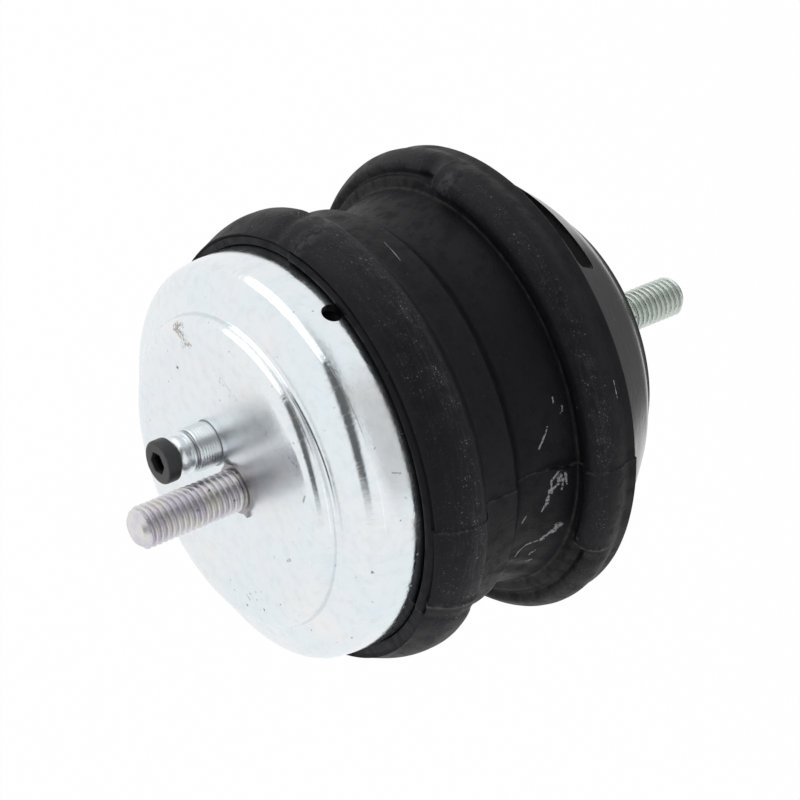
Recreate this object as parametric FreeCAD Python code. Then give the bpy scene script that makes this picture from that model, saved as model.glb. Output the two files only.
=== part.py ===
import FreeCAD, Part
import math
import os

os.makedirs("parts", exist_ok=True)

# A round hydraulic engine mount, drawn in millimetres.
# +Z runs up the axis from the black lower cup to the plated upper can.
# The origin is the centre of the lower cup's flat seat, on the lower stud's axis.
# Angles are counted round the axis from +X, in degrees.

# Fits shared by several pieces
fit_gap = 0.1            # radial room between round pieces that go into each other
press_gap = 0.02         # radial room of a pressed pin or ball, drawn line to line
through = 1.0            # how far a cutter runs past the face that it goes through
run_share = 0.97         # how much of a straight run its two end roundings may take together

# Studs, both with the same thread size
stud_radius = 5.0
stud_chamfer = 1.3
upper_stud_length = 27.4
upper_stud_x = -3.6
upper_stud_y = -3.6
upper_head_radius = 7.8
upper_head_height = 3.4
neck_radius = 5.3
collar_radius = 5.9
collar_height = 0.7
ear_reach = 7.0
ear_half_width = 2.6
lower_stud_length = 37.5
lower_head_radius = 11.0
lower_head_height = 4.0

# Lower cup, pressed from one sheet
cup_wall = 2.5
seat_radius = 34.2
seat_step = 1.6
seat_flare = 1.0
knee_radius = 41.0
knee_height = 6.4
knee_rounding = 30.0
rim_height = 22.6
rim_rounding = 3.6
cup_radius = 54.4
cup_rounding = 2.6
cup_lip_width = 5.9
window_count = 2
window_angle = -40.0
window_span = 70.0
window_width = 10.2
window_radius = 49.5
window_rounding = 2.2

# Base plate, held in the cup's rim
base_thickness = 3.2
base_chamfer = 1.67
plate_edge = 0.4          # rounding on the edges that lie in a crimp
fill_place = 20.0
fill_angle = 140.0
fill_ball_radius = 2.6

# Travel stop on the base plate
rivet_radius = 3.0
rivet_head_radius = 6.0
rivet_head_height = 2.0
rivet_grip = 9.0
post_foot_radius = 15.0
post_foot_height = 3.0
post_stem_radius = 9.0
post_height = 20.0
post_head_radius = 13.0
post_head_height = 4.0
post_edge = 0.6
post_fillet = 1.5
buffer_wall = 2.5
buffer_top = 3.5
buffer_rounding = 2.0

# Rubber body: radii, and heights above the base plate's top
skirt_drop = 1.5
skirt_radius = 56.2
skirt_height = 1.6
bead_root_radius = 55.0
bead_root_height = 5.4
face_rim_radius = 52.4
face_rim_low = 6.6
face_rim_height = 9.1
face_foot_radius = 48.7
face_foot_height = 9.3
face_fillet = 1.0
waist_radius = 45.7
waist_height = 20.8
waist_rounding = 14.0
step_foot_radius = 46.2
step_foot_height = 24.8
step_foot_rounding = 2.5
step_radius = 49.4
step_height = 27.8
step_rounding = 0.8
sleeve_low = 38.5
sleeve_wall = 2.2
sleeve_chamfer = 1.5
upper_edge_radius = 51.6
upper_edge_height = 0.9
upper_front_height = 52.5
ring_rounding = 2.2

# The two rings' fat crests, moulded off the axis towards the thicker side
lower_ring_shift = 0.9
lower_ring_turn = -110.0
lower_ring_radius = 57.5
lower_ring_inner = 50.6
lower_ring_low = 2.6
lower_ring_height = 4.9
lower_shoulder_radius = 54.6
lower_shoulder_height = 8.2
shoulder_drop = 0.6
upper_ring_shift = 2.1
upper_ring_turn = -100.0
upper_ring_radius = 54.0
upper_ring_inner = 46.6
upper_back_height = 36.0
upper_crest_low = 41.0
upper_crest_high = 47.0
upper_brow_radius = 51.2
upper_brow_height = 51.9

# The lip beside the can and the block on the lower ring, each over part of the turn
lip_start = -151.0
lip_span = 114.0
lip_width = 2.5
lip_rise = 0.7
lip_rounding = 0.6
lower_block_start = -152.0
lower_block_span = 128.0
lower_block_radius = 58.3
lower_block_crest = 6.2
lower_block_shoulder_radius = 54.8
lower_block_shoulder_height = 10.9
lower_block_inner_radius = 52.6
lower_block_top = 11.3
block_root = 1.6

# Hollow inside the rubber, which holds the fluid
chamber_low_radius = 24.0
chamber_bend_height = 8.0
chamber_high_radius = 30.8
chamber_rounding = 8.0
ring_lining = 1.2

# Support ring, bonded into the rubber
spring_height = 34.8
flange_thickness = 2.5
ring_skirt_wall = 2.2
ring_skirt_length = 9.5

# Upper can, deep drawn from one sheet
can_wall = 2.0
can_radius = 48.3
can_rounding = 4.8
crimp_rounding = 2.2
can_lip_width = 6.4
ledge_radius = 37.6
ledge_drop = 2.73
ledge_fillet = 0.8
plateau_height = 4.4
plateau_rounding = 3.5
air_height = 17.2
drain_radius = 2.4
drain_angle = -60.0
drain_height = 54.8

# Channel plates and what they hold
lower_plate_thickness = 7.0
upper_plate_thickness = 3.5
channel_inner_radius = 36.0
channel_outer_radius = 43.0
channel_floor = 2.0
channel_dam_angle = 24.0
channel_start = 20.0
port_radius = 2.4
port_place = 28.2
cage_radius = 25.0
cage_floor = 3.5
decoupler_thickness = 3.0
decoupler_gap = 0.4
cage_hole_radius = 3.6
cage_hole_place = 15.0
cage_hole_count = 6
seal_section = 0.95
seal_place = 33.6
seal_room = 0.1

# Diaphragm and air bell
bead_width = 3.0
bead_height = 3.0
skin = 1.6
roll_top_height = 10.0
roll_top_radius = 34.0
roll_foot_radius = 26.0
middle_height = 3.6
roll_rounding = 3.2
bell_wall = 1.5
bell_radius = 42.0
bell_rounding = 2.4
bell_foot_rounding = 0.8
bell_flat_radius = 38.0
bell_flat_rounding = 6.0

# Port stub and its ring
port_x = 8.3
port_y = -0.6
shank_radius = 4.0
shank_below_bell = 1.5
foot_radius = 5.6
foot_height = 0.8
barrel_radius = 5.25
barrel_height = 5.6
groove_depth = 0.7
groove_height = 0.7
land_radius = 5.0
land_height = 0.7
neck_height = 2.9
port_neck_radius = 3.9
neck_rounding = 0.9
tip_radius = 2.9
tip_height = 2.2
port_bore = 1.8
port_ring_radius = 5.15
port_ring_height = 3.4
port_ring_rounding = 0.6
hexagon_reach = 2.45

# Levels up the axis, worked out from the sizes above
cone_slope = (cup_radius - knee_radius) / (rim_height - knee_height)
cone_tilt = math.sqrt(1.0 + cone_slope ** 2)
base_radius = cup_radius - cup_wall - fit_gap
base_seat_radius = base_radius - base_chamfer
base_low = knee_height + (base_seat_radius - knee_radius + cup_wall * cone_tilt) / cone_slope + fit_gap
base_high = base_low + base_thickness
cup_lip_high = base_high + cup_wall
cup_lip_radius = cup_radius - cup_lip_width
flange_low = base_high + spring_height
flange_high = flange_low + flange_thickness
can_lip_radius = can_radius - can_lip_width
can_inner_radius = can_radius - can_wall
stack_radius = can_inner_radius - fit_gap
lower_plate_high = flange_high + lower_plate_thickness
upper_plate_high = lower_plate_high + upper_plate_thickness
bead_high = upper_plate_high + bead_height
ledge_high = bead_high + air_height
plateau_high = ledge_high + plateau_height
plateau_inside = plateau_high - can_wall
ledge_slope = ledge_drop / (can_radius - ledge_radius)
ledge_offset = can_wall * math.sqrt(1.0 + ledge_slope ** 2)
sleeve_radius = can_radius + fit_gap
ring_inner_radius = chamber_high_radius + ring_lining
ring_skirt_low = flange_low - ring_skirt_length
post_high = base_high + post_height


def rounded_face(corners):
    """A face in the XZ plane from corners (radius, height, rounding), each rounding a tangent arc.

    Two roundings that want more than the run between them are both made smaller."""
    points = [Vector(radius, 0, height) for radius, height, rounding in corners]
    count = len(points)
    halves = []
    cuts = []
    for i in range(count):
        before = points[i - 1] - points[i]
        after = points[(i + 1) % count] - points[i]
        half = before.getAngle(after) / 2.0
        rounding = corners[i][2] if half < math.radians(89.5) else 0.0
        halves.append(half)
        cuts.append(rounding / math.tan(half))
    shares = [1.0] * count
    for i in range(count):
        following = (i + 1) % count
        room = run_share * (points[following] - points[i]).Length
        wanted = cuts[i] + cuts[following]
        if wanted > room:
            shares[i] = min(shares[i], room / wanted)
            shares[following] = min(shares[following], room / wanted)
    arcs = []
    for i in range(count):
        cut = cuts[i] * shares[i]
        if cut <= 0.0:
            arcs.append((points[i], points[i], None))
            continue
        rounding = cut * math.tan(halves[i])
        before = points[i - 1] - points[i]
        after = points[(i + 1) % count] - points[i]
        before.normalize()
        after.normalize()
        inward = before + after
        inward.normalize()
        start = points[i] + before * cut
        middle = points[i] + inward * (rounding / math.sin(halves[i]) - rounding)
        end = points[i] + after * cut
        arcs.append((start, end, Part.Arc(start, middle, end)))
    edges = []
    for i in range(count):
        start, end, arc = arcs[i]
        if arc is not None:
            edges.append(arc.toShape())
        next_start = arcs[(i + 1) % count][0]
        if (next_start - end).Length > 1e-6:
            edges.append(Part.makeLine(end, next_start))
    return Part.Face(Part.Wire(edges))


def spin(corners, start=0.0, span=360.0):
    """The solid swept by a section that turns round the axis."""
    solid = rounded_face(corners).revolve(Vector(0, 0, 0), up, span)
    if start != 0.0:
        solid.rotate(Vector(0, 0, 0), up, start)
    return solid


def sheet(path, wall):
    """Corners of a bent sheet: the outer path, then the same path moved inwards by the wall.

    The path runs outwards and then down, so the sheet's inside lies on its right."""
    points = [Vector(radius, 0, height) for radius, height, rounding in path]
    shifts = []
    for a, b in zip(points[:-1], points[1:]):
        along = b - a
        along.normalize()
        shifts.append((along, Vector(along.z, 0, -along.x) * wall))
    inner = [points[0] + shifts[0][1]]
    roundings = [path[0][2]]
    for i in range(1, len(points) - 1):
        along_before, shift_before = shifts[i - 1]
        along_after, shift_after = shifts[i]
        turn = along_before.x * along_after.z - along_before.z * along_after.x
        spread = shift_before + shift_after
        spread.normalize()
        reach = wall / (spread.dot(shift_before) / wall)
        inner.append(points[i] + spread * reach)
        rounding = path[i][2]
        if rounding > 0.0:
            rounding = max(rounding - wall, 0.2) if turn < 0.0 else rounding + wall
        roundings.append(rounding)
    inner.append(points[-1] + shifts[-1][1])
    roundings.append(path[-1][2])
    back = [(p.x, p.z, rounding) for p, rounding in zip(inner, roundings)]
    back.reverse()
    return list(path) + back


def rod(radius, low, high, x=0.0, y=0.0):
    return Part.makeCylinder(radius, high - low, Vector(x, y, low))


def polar(place, angle):
    return place * math.cos(math.radians(angle)), place * math.sin(math.radians(angle))


def flipped(corners):
    return [(radius, -height, rounding) for radius, height, rounding in corners]


def threaded_end(low, length):
    """The plain rod that a stud's thread is cut on, with a chamfered end."""
    return spin([
        (0, low, 0),
        (stud_radius, low, 0),
        (stud_radius, low + length - stud_chamfer, 0),
        (stud_radius - stud_chamfer, low + length, 0),
        (0, low + length, 0),
    ])


def upper_stud():
    """Stud pressed through the can, with a head inside and an eared collar outside."""
    shape = threaded_end(plateau_high, upper_stud_length)
    shape = shape.fuse(rod(upper_head_radius, plateau_inside - upper_head_height, plateau_inside))
    shape = shape.fuse(rod(neck_radius, plateau_inside - upper_head_height / 2, plateau_high))
    shape = shape.fuse(rod(collar_radius, plateau_high, plateau_high + collar_height))
    for side in (1, -1):
        tip = Vector(side * ear_reach, 0, plateau_high)
        ear = Part.makePolygon([
            Vector(0, -ear_half_width * 2, plateau_high),
            tip,
            Vector(0, ear_half_width * 2, plateau_high),
            Vector(0, -ear_half_width * 2, plateau_high),
        ])
        ear = Part.Face(ear).extrude(Vector(0, 0, collar_height))
        shape = shape.fuse(ear)
    shape = shape.removeSplitter()
    shape.translate(Vector(upper_stud_x, upper_stud_y, 0))
    return shape


def lower_stud():
    """Stud through the lower seat, with its head inside the cup."""
    shape = threaded_end(0.0, lower_stud_length)
    shape.rotate(Vector(0, 0, 0), Vector(1, 0, 0), 180)
    shape = shape.fuse(rod(neck_radius, 0.0, cup_wall))
    shape = shape.fuse(rod(lower_head_radius, cup_wall, cup_wall + lower_head_height))
    return shape.removeSplitter()


def upper_can():
    """Deep-drawn can, its lower edge crimped under the support ring's flange."""
    lip_low = flange_low - can_wall
    path = [
        (0, plateau_high, 0),
        (ledge_radius, plateau_high, plateau_rounding),
        (ledge_radius, ledge_high, ledge_fillet),
        (can_radius, ledge_high - ledge_drop, can_rounding),
        (can_radius, lip_low, crimp_rounding),
        (can_lip_radius, lip_low, 0),
    ]
    shape = spin(sheet(path, can_wall))
    x, y = upper_stud_x, upper_stud_y
    shape = shape.cut(rod(neck_radius + press_gap, plateau_inside - through, plateau_high + through, x, y))
    port_hole = rod(shank_radius + fit_gap, plateau_inside - through, plateau_high + through, port_x, port_y)
    shape = shape.cut(port_hole)
    drain_x, drain_y = polar(1.0, drain_angle)
    outward = Vector(drain_x, drain_y, 0)
    centre = Vector(0, 0, base_high + drain_height)
    drain = Part.makeCylinder(drain_radius, can_radius + through, centre, outward)
    near_axis = rod(can_inner_radius - through, base_high, plateau_high)
    return shape.cut(drain.cut(near_axis))


def lower_cup():
    """Pressed cup with long windows, its rim crimped over the base plate."""
    path = [
        (0, 0, 0),
        (seat_radius, 0, seat_step / 2),
        (seat_radius + seat_flare, seat_step, seat_step / 2),
        (knee_radius, knee_height, knee_rounding),
        (cup_radius, rim_height, rim_rounding),
        (cup_radius, cup_lip_high, cup_rounding),
        (cup_lip_radius, cup_lip_high, 0),
    ]
    corners = flipped(sheet(flipped(path), cup_wall))
    shape = spin(corners)
    shape = shape.cut(rod(neck_radius + press_gap, -through, cup_wall + through))
    for i in range(window_count):
        shape = shape.cut(window_tool(window_angle + 360.0 * i / window_count))
    return shape


def window_tool(angle):
    """Cutter for one window: a curved slot square to the cup's cone, with rounded corners."""
    height = knee_height + (window_radius - knee_radius) / cone_slope
    outward = Vector(1.0 / cone_tilt, 0, -cone_slope / cone_tilt)
    along = Vector(cone_slope / cone_tilt, 0, 1.0 / cone_tilt)
    middle = Vector(window_radius, 0, height)
    deep = 2 * cup_wall
    half = window_width / 2
    corners = []
    for side, depth in ((-half, -deep), (half, -deep), (half, deep), (-half, deep)):
        point = middle + along * side + outward * depth
        corners.append((point.x, point.z, 0))
    tool = spin(corners, angle - window_span / 2, window_span)
    straight = [edge for edge in tool.Edges if edge.Curve.TypeId == "Part::GeomLine"]
    ends = [edge for edge in straight if abs(edge.Length - 2 * deep) < fit_gap]
    return tool.makeFillet(window_rounding, ends)


def base_plate():
    """Steel plate that closes the rubber's lower end and seats on the cup's cone."""
    chamfer_rise = base_chamfer / cone_slope
    shape = spin([
        (0, base_low, 0),
        (base_seat_radius, base_low, 0),
        (base_radius, base_low + chamfer_rise, 0),
        (base_radius, base_high, plate_edge),
        (0, base_high, 0),
    ])
    shape = shape.cut(rod(rivet_radius + press_gap, base_low - through, base_high + through))
    x, y = polar(fill_place, fill_angle)
    return shape.cut(rod(fill_ball_radius + press_gap, base_low - through, base_high + through, x, y))


def fill_plug():
    """Ball pressed into the filling hole."""
    x, y = polar(fill_place, fill_angle)
    return Part.makeSphere(fill_ball_radius, Vector(x, y, (base_low + base_high) / 2))


def post_rivet():
    head = rod(rivet_head_radius, base_low - rivet_head_height, base_low)
    return head.fuse(rod(rivet_radius, base_low, base_high + rivet_grip)).removeSplitter()


def stop_post():
    """Mushroom-shaped post that the rivet holds on the base plate."""
    shape = spin([
        (0, base_high, 0),
        (post_foot_radius, base_high, 0),
        (post_foot_radius, base_high + post_foot_height, post_edge),
        (post_stem_radius, base_high + post_foot_height, post_fillet),
        (post_stem_radius, post_high - post_head_height, 0),
        (post_head_radius, post_high - post_head_height, post_edge),
        (post_head_radius, post_high, post_edge),
        (0, post_high, 0),
    ])
    return shape.cut(rod(rivet_radius + press_gap, base_high - through, base_high + rivet_grip))


def stop_buffer():
    """Rubber cap stretched over the post's head."""
    outer = post_head_radius + buffer_wall
    low = post_high - post_head_height - buffer_wall
    shape = spin([
        (post_stem_radius + fit_gap, low, 0),
        (outer, low, buffer_rounding / 2),
        (outer, post_high + buffer_top, buffer_rounding),
        (0, post_high + buffer_top, 0),
        (0, post_high, 0),
        (post_head_radius + fit_gap, post_high, 0),
        (post_head_radius + fit_gap, post_high - post_head_height - fit_gap, 0),
        (post_stem_radius + fit_gap, post_high - post_head_height - fit_gap, 0),
    ])
    return shape


def raised(corners):
    """The same corners, with heights counted from the base plate's top."""
    return [(radius, base_high + height, rounding) for radius, height, rounding in corners]


def shifted(shape, place, angle):
    x, y = polar(place, angle)
    shape.translate(Vector(x, y, 0))
    return shape


def lower_ring():
    """The lower ring's fat crest and its raised block, cut out round the cup's rim."""
    crest = spin(raised([
        (lower_ring_inner, lower_ring_low, 0),
        (skirt_radius - block_root, skirt_height, 0),
        (lower_ring_radius, lower_ring_height, ring_rounding * 2),
        (lower_shoulder_radius, lower_shoulder_height, ring_rounding),
        (lower_ring_inner, lower_shoulder_height - shoulder_drop, 0),
    ]))
    block = spin(raised([
        (lower_ring_inner, lower_ring_low, 0),
        (skirt_radius - block_root, skirt_height / 2, 0),
        (lower_block_radius, lower_block_crest, ring_rounding),
        (lower_block_shoulder_radius, lower_block_shoulder_height, ring_rounding / 2),
        (lower_block_inner_radius, lower_block_top, ring_rounding / 2),
        (lower_ring_inner, lower_shoulder_height - shoulder_drop, 0),
    ]), lower_block_start, lower_block_span)
    shape = shifted(crest, lower_ring_shift, lower_ring_turn).fuse(block)
    return shape.cut(rod(cup_radius + fit_gap, base_high - skirt_drop, cup_lip_high + fit_gap))


def upper_ring():
    """The upper ring's fat crest, cut out round the can."""
    crest = spin(raised([
        (upper_ring_inner, upper_back_height, 0),
        (upper_ring_radius, upper_crest_low, ring_rounding),
        (upper_ring_radius, upper_crest_high, ring_rounding * 2),
        (upper_brow_radius, upper_brow_height, 0),
        (upper_ring_inner, upper_brow_height, 0),
    ]))
    crest = shifted(crest, upper_ring_shift, upper_ring_turn)
    return crest.cut(rod(sleeve_radius, base_high + upper_back_height - through, ledge_high))


def rubber_body():
    """The one rubber moulding: lower ring, waist, step and upper ring, hollow inside."""
    skirt_inner = cup_radius + fit_gap
    lip_clear = cup_lip_high + fit_gap
    can_lip_low = flange_low - can_wall - fit_gap
    shape = spin([
        (chamber_low_radius, base_high, 0),
        (cup_lip_radius - fit_gap, base_high, 0),
        (cup_lip_radius - fit_gap, lip_clear, 0),
        (skirt_inner, lip_clear, 0),
        (skirt_inner, base_high - skirt_drop, 0),
        (skirt_radius, base_high - skirt_drop, 0),
        (skirt_radius, base_high + skirt_height, 0),
        (bead_root_radius, base_high + bead_root_height, 0),
        (face_rim_radius, base_high + face_rim_low, 0),
        (face_rim_radius, base_high + face_rim_height, face_fillet),
        (face_foot_radius, base_high + face_foot_height, face_fillet),
        (waist_radius, base_high + waist_height, waist_rounding),
        (step_foot_radius, base_high + step_foot_height, step_foot_rounding),
        (step_radius, base_high + step_height, step_rounding),
        (step_radius, base_high + sleeve_low, 0),
        (sleeve_radius + sleeve_wall, base_high + sleeve_low + sleeve_chamfer, 0),
        (sleeve_radius + sleeve_wall, base_high + upper_front_height - 2 * upper_edge_height, 0),
        (upper_edge_radius, base_high + upper_front_height - upper_edge_height, 0),
        (upper_edge_radius, base_high + upper_front_height, 0),
        (sleeve_radius, base_high + upper_front_height, 0),
        (sleeve_radius, can_lip_low, 0),
        (can_lip_radius - fit_gap, can_lip_low, 0),
        (can_lip_radius - fit_gap, flange_low, 0),
        (ring_inner_radius, flange_low, 0),
        (ring_inner_radius, flange_high, 0),
        (chamber_high_radius, flange_high, 0),
        (chamber_high_radius, ring_skirt_low, chamber_rounding),
        (chamber_low_radius, base_high + chamber_bend_height, chamber_rounding),
    ])
    lip = spin(raised([
        (sleeve_radius, upper_front_height - lip_width, 0),
        (sleeve_radius + lip_width, upper_front_height - lip_width, 0),
        (sleeve_radius + lip_width, upper_front_height + lip_rise, lip_rounding),
        (sleeve_radius, upper_front_height + lip_rise, lip_rounding),
    ]), lip_start, lip_span)
    shape = shape.fuse([lower_ring(), upper_ring(), lip])
    return shape.cut(support_ring()).removeSplitter()


def support_ring():
    """Steel ring with a flange that the can grips and a skirt bonded into the rubber."""
    return spin([
        (ring_inner_radius, ring_skirt_low, 0.6),
        (ring_inner_radius + ring_skirt_wall, ring_skirt_low, 0.6),
        (ring_inner_radius + ring_skirt_wall, flange_low, 0.8),
        (stack_radius, flange_low, plate_edge),
        (stack_radius, flange_high, plate_edge),
        (ring_inner_radius, flange_high, 0),
    ])


def cage_holes(low, high):
    """Rods through the cage: one in the middle and a ring of them."""
    rods = [rod(cage_hole_radius, low, high)]
    for i in range(cage_hole_count):
        x, y = polar(cage_hole_place, 360.0 * i / cage_hole_count)
        rods.append(rod(cage_hole_radius, low, high, x, y))
    return Part.makeCompound(rods)


def channel_solid():
    """The long curved channel, from its start round to the dam, with its inward branch."""
    low = flange_high + channel_floor
    span = 360.0 - channel_dam_angle
    groove = spin([
        (channel_inner_radius, low, 0),
        (channel_outer_radius, low, 0),
        (channel_outer_radius, lower_plate_high, 0),
        (channel_inner_radius, lower_plate_high, 0),
    ], channel_start, span)
    branch_width = math.degrees(2 * port_radius / channel_inner_radius)
    branch = spin([
        (port_place, low, 0),
        (channel_inner_radius + through, low, 0),
        (channel_inner_radius + through, lower_plate_high, 0),
        (port_place, lower_plate_high, 0),
    ], channel_start, branch_width)
    return groove.fuse(branch)


def lower_port():
    """Hole from the channel's branch down into the working chamber."""
    branch_width = math.degrees(2 * port_radius / channel_inner_radius)
    x, y = polar(port_place, channel_start + branch_width / 2)
    return rod(port_radius, flange_high, flange_high + channel_floor + through, x, y)


def upper_port():
    """Hole from the channel's far end up into the reserve chamber."""
    place = (channel_inner_radius + channel_outer_radius) / 2
    turn = channel_start + 360.0 - channel_dam_angle - math.degrees(1.5 * port_radius / place)
    x, y = polar(place, turn)
    return rod(port_radius, lower_plate_high - through, upper_plate_high, x, y)


def seal_groove():
    half = seal_section + seal_room
    return spin([
        (seal_place - half, flange_high, 0),
        (seal_place + half, flange_high, 0),
        (seal_place + half, flange_high + 2 * seal_section - seal_room, 0),
        (seal_place - half, flange_high + 2 * seal_section - seal_room, 0),
    ])


def track_plate_lower():
    """Lower plate: channel, cage for the decoupler, and the seal's groove."""
    shape = rod(stack_radius, flange_high, lower_plate_high)
    shape = shape.cut(rod(cage_radius, flange_high + cage_floor, lower_plate_high + through))
    shape = shape.cut(cage_holes(flange_high - through, lower_plate_high))
    shape = shape.cut(channel_solid())
    shape = shape.cut(lower_port())
    return shape.cut(seal_groove())


def track_plate_upper():
    """Flat plate that closes the channel and the cage."""
    shape = rod(stack_radius, lower_plate_high, upper_plate_high)
    shape = shape.cut(cage_holes(lower_plate_high - through, upper_plate_high + through))
    return shape.cut(upper_port())


def decoupler():
    """Loose disc lying on the cage's floor."""
    low = flange_high + cage_floor
    return spin([
        (0, low, 0),
        (cage_radius - decoupler_gap, low, 0.8),
        (cage_radius - decoupler_gap, low + decoupler_thickness, 0.8),
        (0, low + decoupler_thickness, 0),
    ])


def seal_ring():
    """Round-section ring, squeezed a little flat between the plate and the flange."""
    squeezed = seal_section - seal_room / 2
    return spin([
        (seal_place - seal_section, flange_high, seal_section * 0.8),
        (seal_place + seal_section, flange_high, seal_section * 0.8),
        (seal_place + seal_section, flange_high + 2 * squeezed, seal_section * 0.8),
        (seal_place - seal_section, flange_high + 2 * squeezed, seal_section * 0.8),
    ])


def diaphragm():
    """Thin rolling skin with a square bead at its edge."""
    bead_inner = stack_radius - bead_width
    skin_high = upper_plate_high + bead_height / 2 + skin / 2
    roll_high = upper_plate_high + roll_top_height
    path = [
        (0, upper_plate_high + middle_height, 0),
        (roll_foot_radius, upper_plate_high + middle_height, roll_rounding),
        (roll_top_radius - roll_rounding, roll_high, roll_rounding),
        (roll_top_radius + roll_rounding, roll_high, roll_rounding),
        (bead_inner - roll_rounding / 2, skin_high, roll_rounding / 2),
        (bead_inner + bead_width / 2, skin_high, 0),
    ]
    shape = spin(sheet(path, skin))
    bead = rod(stack_radius, upper_plate_high, bead_high).cut(rod(bead_inner, upper_plate_high, bead_high))
    return shape.fuse(bead).removeSplitter()


def bell_level(radius):
    """Height of the bell's outer face under the can's ledge."""
    return ledge_high - ledge_slope * (radius - ledge_radius) - ledge_offset - fit_gap


def air_bell():
    """Thin inverted dish whose shoulder bears under the can's ledge, its flange on the bead."""
    flange = bead_high + bell_wall
    path = [
        (0, bell_level(bell_flat_radius), 0),
        (bell_flat_radius, bell_level(bell_flat_radius), bell_flat_rounding),
        (bell_radius, bell_level(bell_radius), bell_rounding),
        (bell_radius, flange, bell_foot_rounding),
        (stack_radius, flange, 0),
    ]
    shape = spin(sheet(path, bell_wall))
    hole = rod(shank_radius + press_gap, bead_high, plateau_high, port_x, port_y)
    return shape.cut(hole)


def port_stub():
    """Turned tube on the can, with grooves, a rounded neck and a tip for the ring."""
    low = bell_level(bell_flat_radius) - bell_wall - shank_below_bell
    barrel_high = plateau_high + foot_height + barrel_height
    first_land = barrel_high + groove_height
    second_groove = first_land + land_height
    neck_low = second_groove + groove_height
    neck_high = neck_low + neck_height
    tip_high = neck_high + tip_height
    shape = spin([
        (port_bore, low, 0),
        (shank_radius, low, 0.4),
        (shank_radius, plateau_high, 0),
        (foot_radius, plateau_high, 0),
        (foot_radius, plateau_high + foot_height, 0.3),
        (barrel_radius, plateau_high + foot_height, 0),
        (barrel_radius, barrel_high, 0.3),
        (barrel_radius - groove_depth, barrel_high, 0),
        (barrel_radius - groove_depth, first_land, 0),
        (land_radius, first_land, 0.2),
        (land_radius, second_groove, 0.2),
        (land_radius - groove_depth, second_groove, 0),
        (land_radius - groove_depth, neck_low, 0.3),
        (port_neck_radius, neck_low, 0),
        (port_neck_radius, neck_high, neck_rounding),
        (tip_radius, neck_high, 0),
        (tip_radius, tip_high, 0.3),
        (port_bore, tip_high, 0),
    ])
    shape.translate(Vector(port_x, port_y, 0))
    return shape


def port_neck_level():
    """Height of the neck's shoulder, where the ring sits."""
    return plateau_high + foot_height + barrel_height + 2 * groove_height + land_height + neck_height


def port_ring():
    """Black ring on the port's tip, with a six-sided hole in its end."""
    low = port_neck_level()
    high = low + port_ring_height
    shape = spin([
        (0, low, 0),
        (port_ring_radius, low, port_ring_rounding),
        (port_ring_radius, high, port_ring_rounding),
        (0, high, 0),
    ])
    shape = shape.cut(rod(tip_radius + press_gap, low - through, low + tip_height))
    corners = [Vector(*polar(hexagon_reach, 60.0 * i), low) for i in range(7)]
    hexagon = Part.Face(Part.makePolygon(corners)).extrude(Vector(0, 0, port_ring_height + through))
    shape = shape.cut(hexagon)
    shape.translate(Vector(port_x, port_y, 0))
    return shape


def fluid_filling():
    """What is left of the two chambers, the cage and the channel around the solid pieces."""
    bead_inner = stack_radius - bead_width
    working = spin([
        (0, base_high, 0),
        (chamber_high_radius + through, base_high, 0),
        (chamber_high_radius + through, flange_high - through, 0),
        (chamber_high_radius, flange_high - through, 0),
        (chamber_high_radius, flange_high, 0),
        (0, flange_high, 0),
    ])
    cage = cage_holes(flange_high, upper_plate_high)
    cage = rod(cage_radius, flange_high + cage_floor, lower_plate_high).fuse(cage)
    track = channel_solid().fuse(lower_port()).fuse(upper_port())
    roll_high = upper_plate_high + roll_top_height
    reserve = spin([
        (0, upper_plate_high, 0),
        (bead_inner, upper_plate_high, 0),
        (bead_inner, upper_plate_high + bead_height / 2, 0),
        (roll_top_radius, roll_high - skin / 2, 0),
        (roll_foot_radius, upper_plate_high + middle_height - skin / 2, 0),
        (0, upper_plate_high + middle_height - skin / 2, 0),
    ])
    shape = working.fuse([cage, track, reserve])
    wet = (rubber_body, stop_post, stop_buffer, post_rivet, fill_plug, decoupler, diaphragm)
    for piece in wet:
        shape = shape.cut(piece())
    solids = sorted(shape.Solids, key=lambda solid: solid.Volume)
    return solids[-1]


Vector = FreeCAD.Vector
up = Vector(0, 0, 1)

pieces = {
    "upper_can": upper_can,
    "upper_stud": upper_stud,
    "port_stub": port_stub,
    "port_ring": port_ring,
    "air_bell": air_bell,
    "diaphragm": diaphragm,
    "track_plate_upper": track_plate_upper,
    "decoupler": decoupler,
    "track_plate_lower": track_plate_lower,
    "seal_ring": seal_ring,
    "support_ring": support_ring,
    "rubber_body": rubber_body,
    "fluid_filling": fluid_filling,
    "stop_buffer": stop_buffer,
    "stop_post": stop_post,
    "post_rivet": post_rivet,
    "fill_plug": fill_plug,
    "base_plate": base_plate,
    "lower_cup": lower_cup,
    "lower_stud": lower_stud,
}

for node, make in pieces.items():
    shape = make()
    shape.exportStep("parts/" + node + ".step")
    box = shape.BoundBox
    print("%-18s solids %d valid %s volume %9.1f mm3, z %.2f to %.2f, reach %.2f" % (
        node, len(shape.Solids), shape.isValid(), shape.Volume, box.ZMin, box.ZMax, box.XMax
    ))
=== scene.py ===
import math

import bmesh
import bpy
import numpy as np
from mathutils import Matrix, Vector


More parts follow.
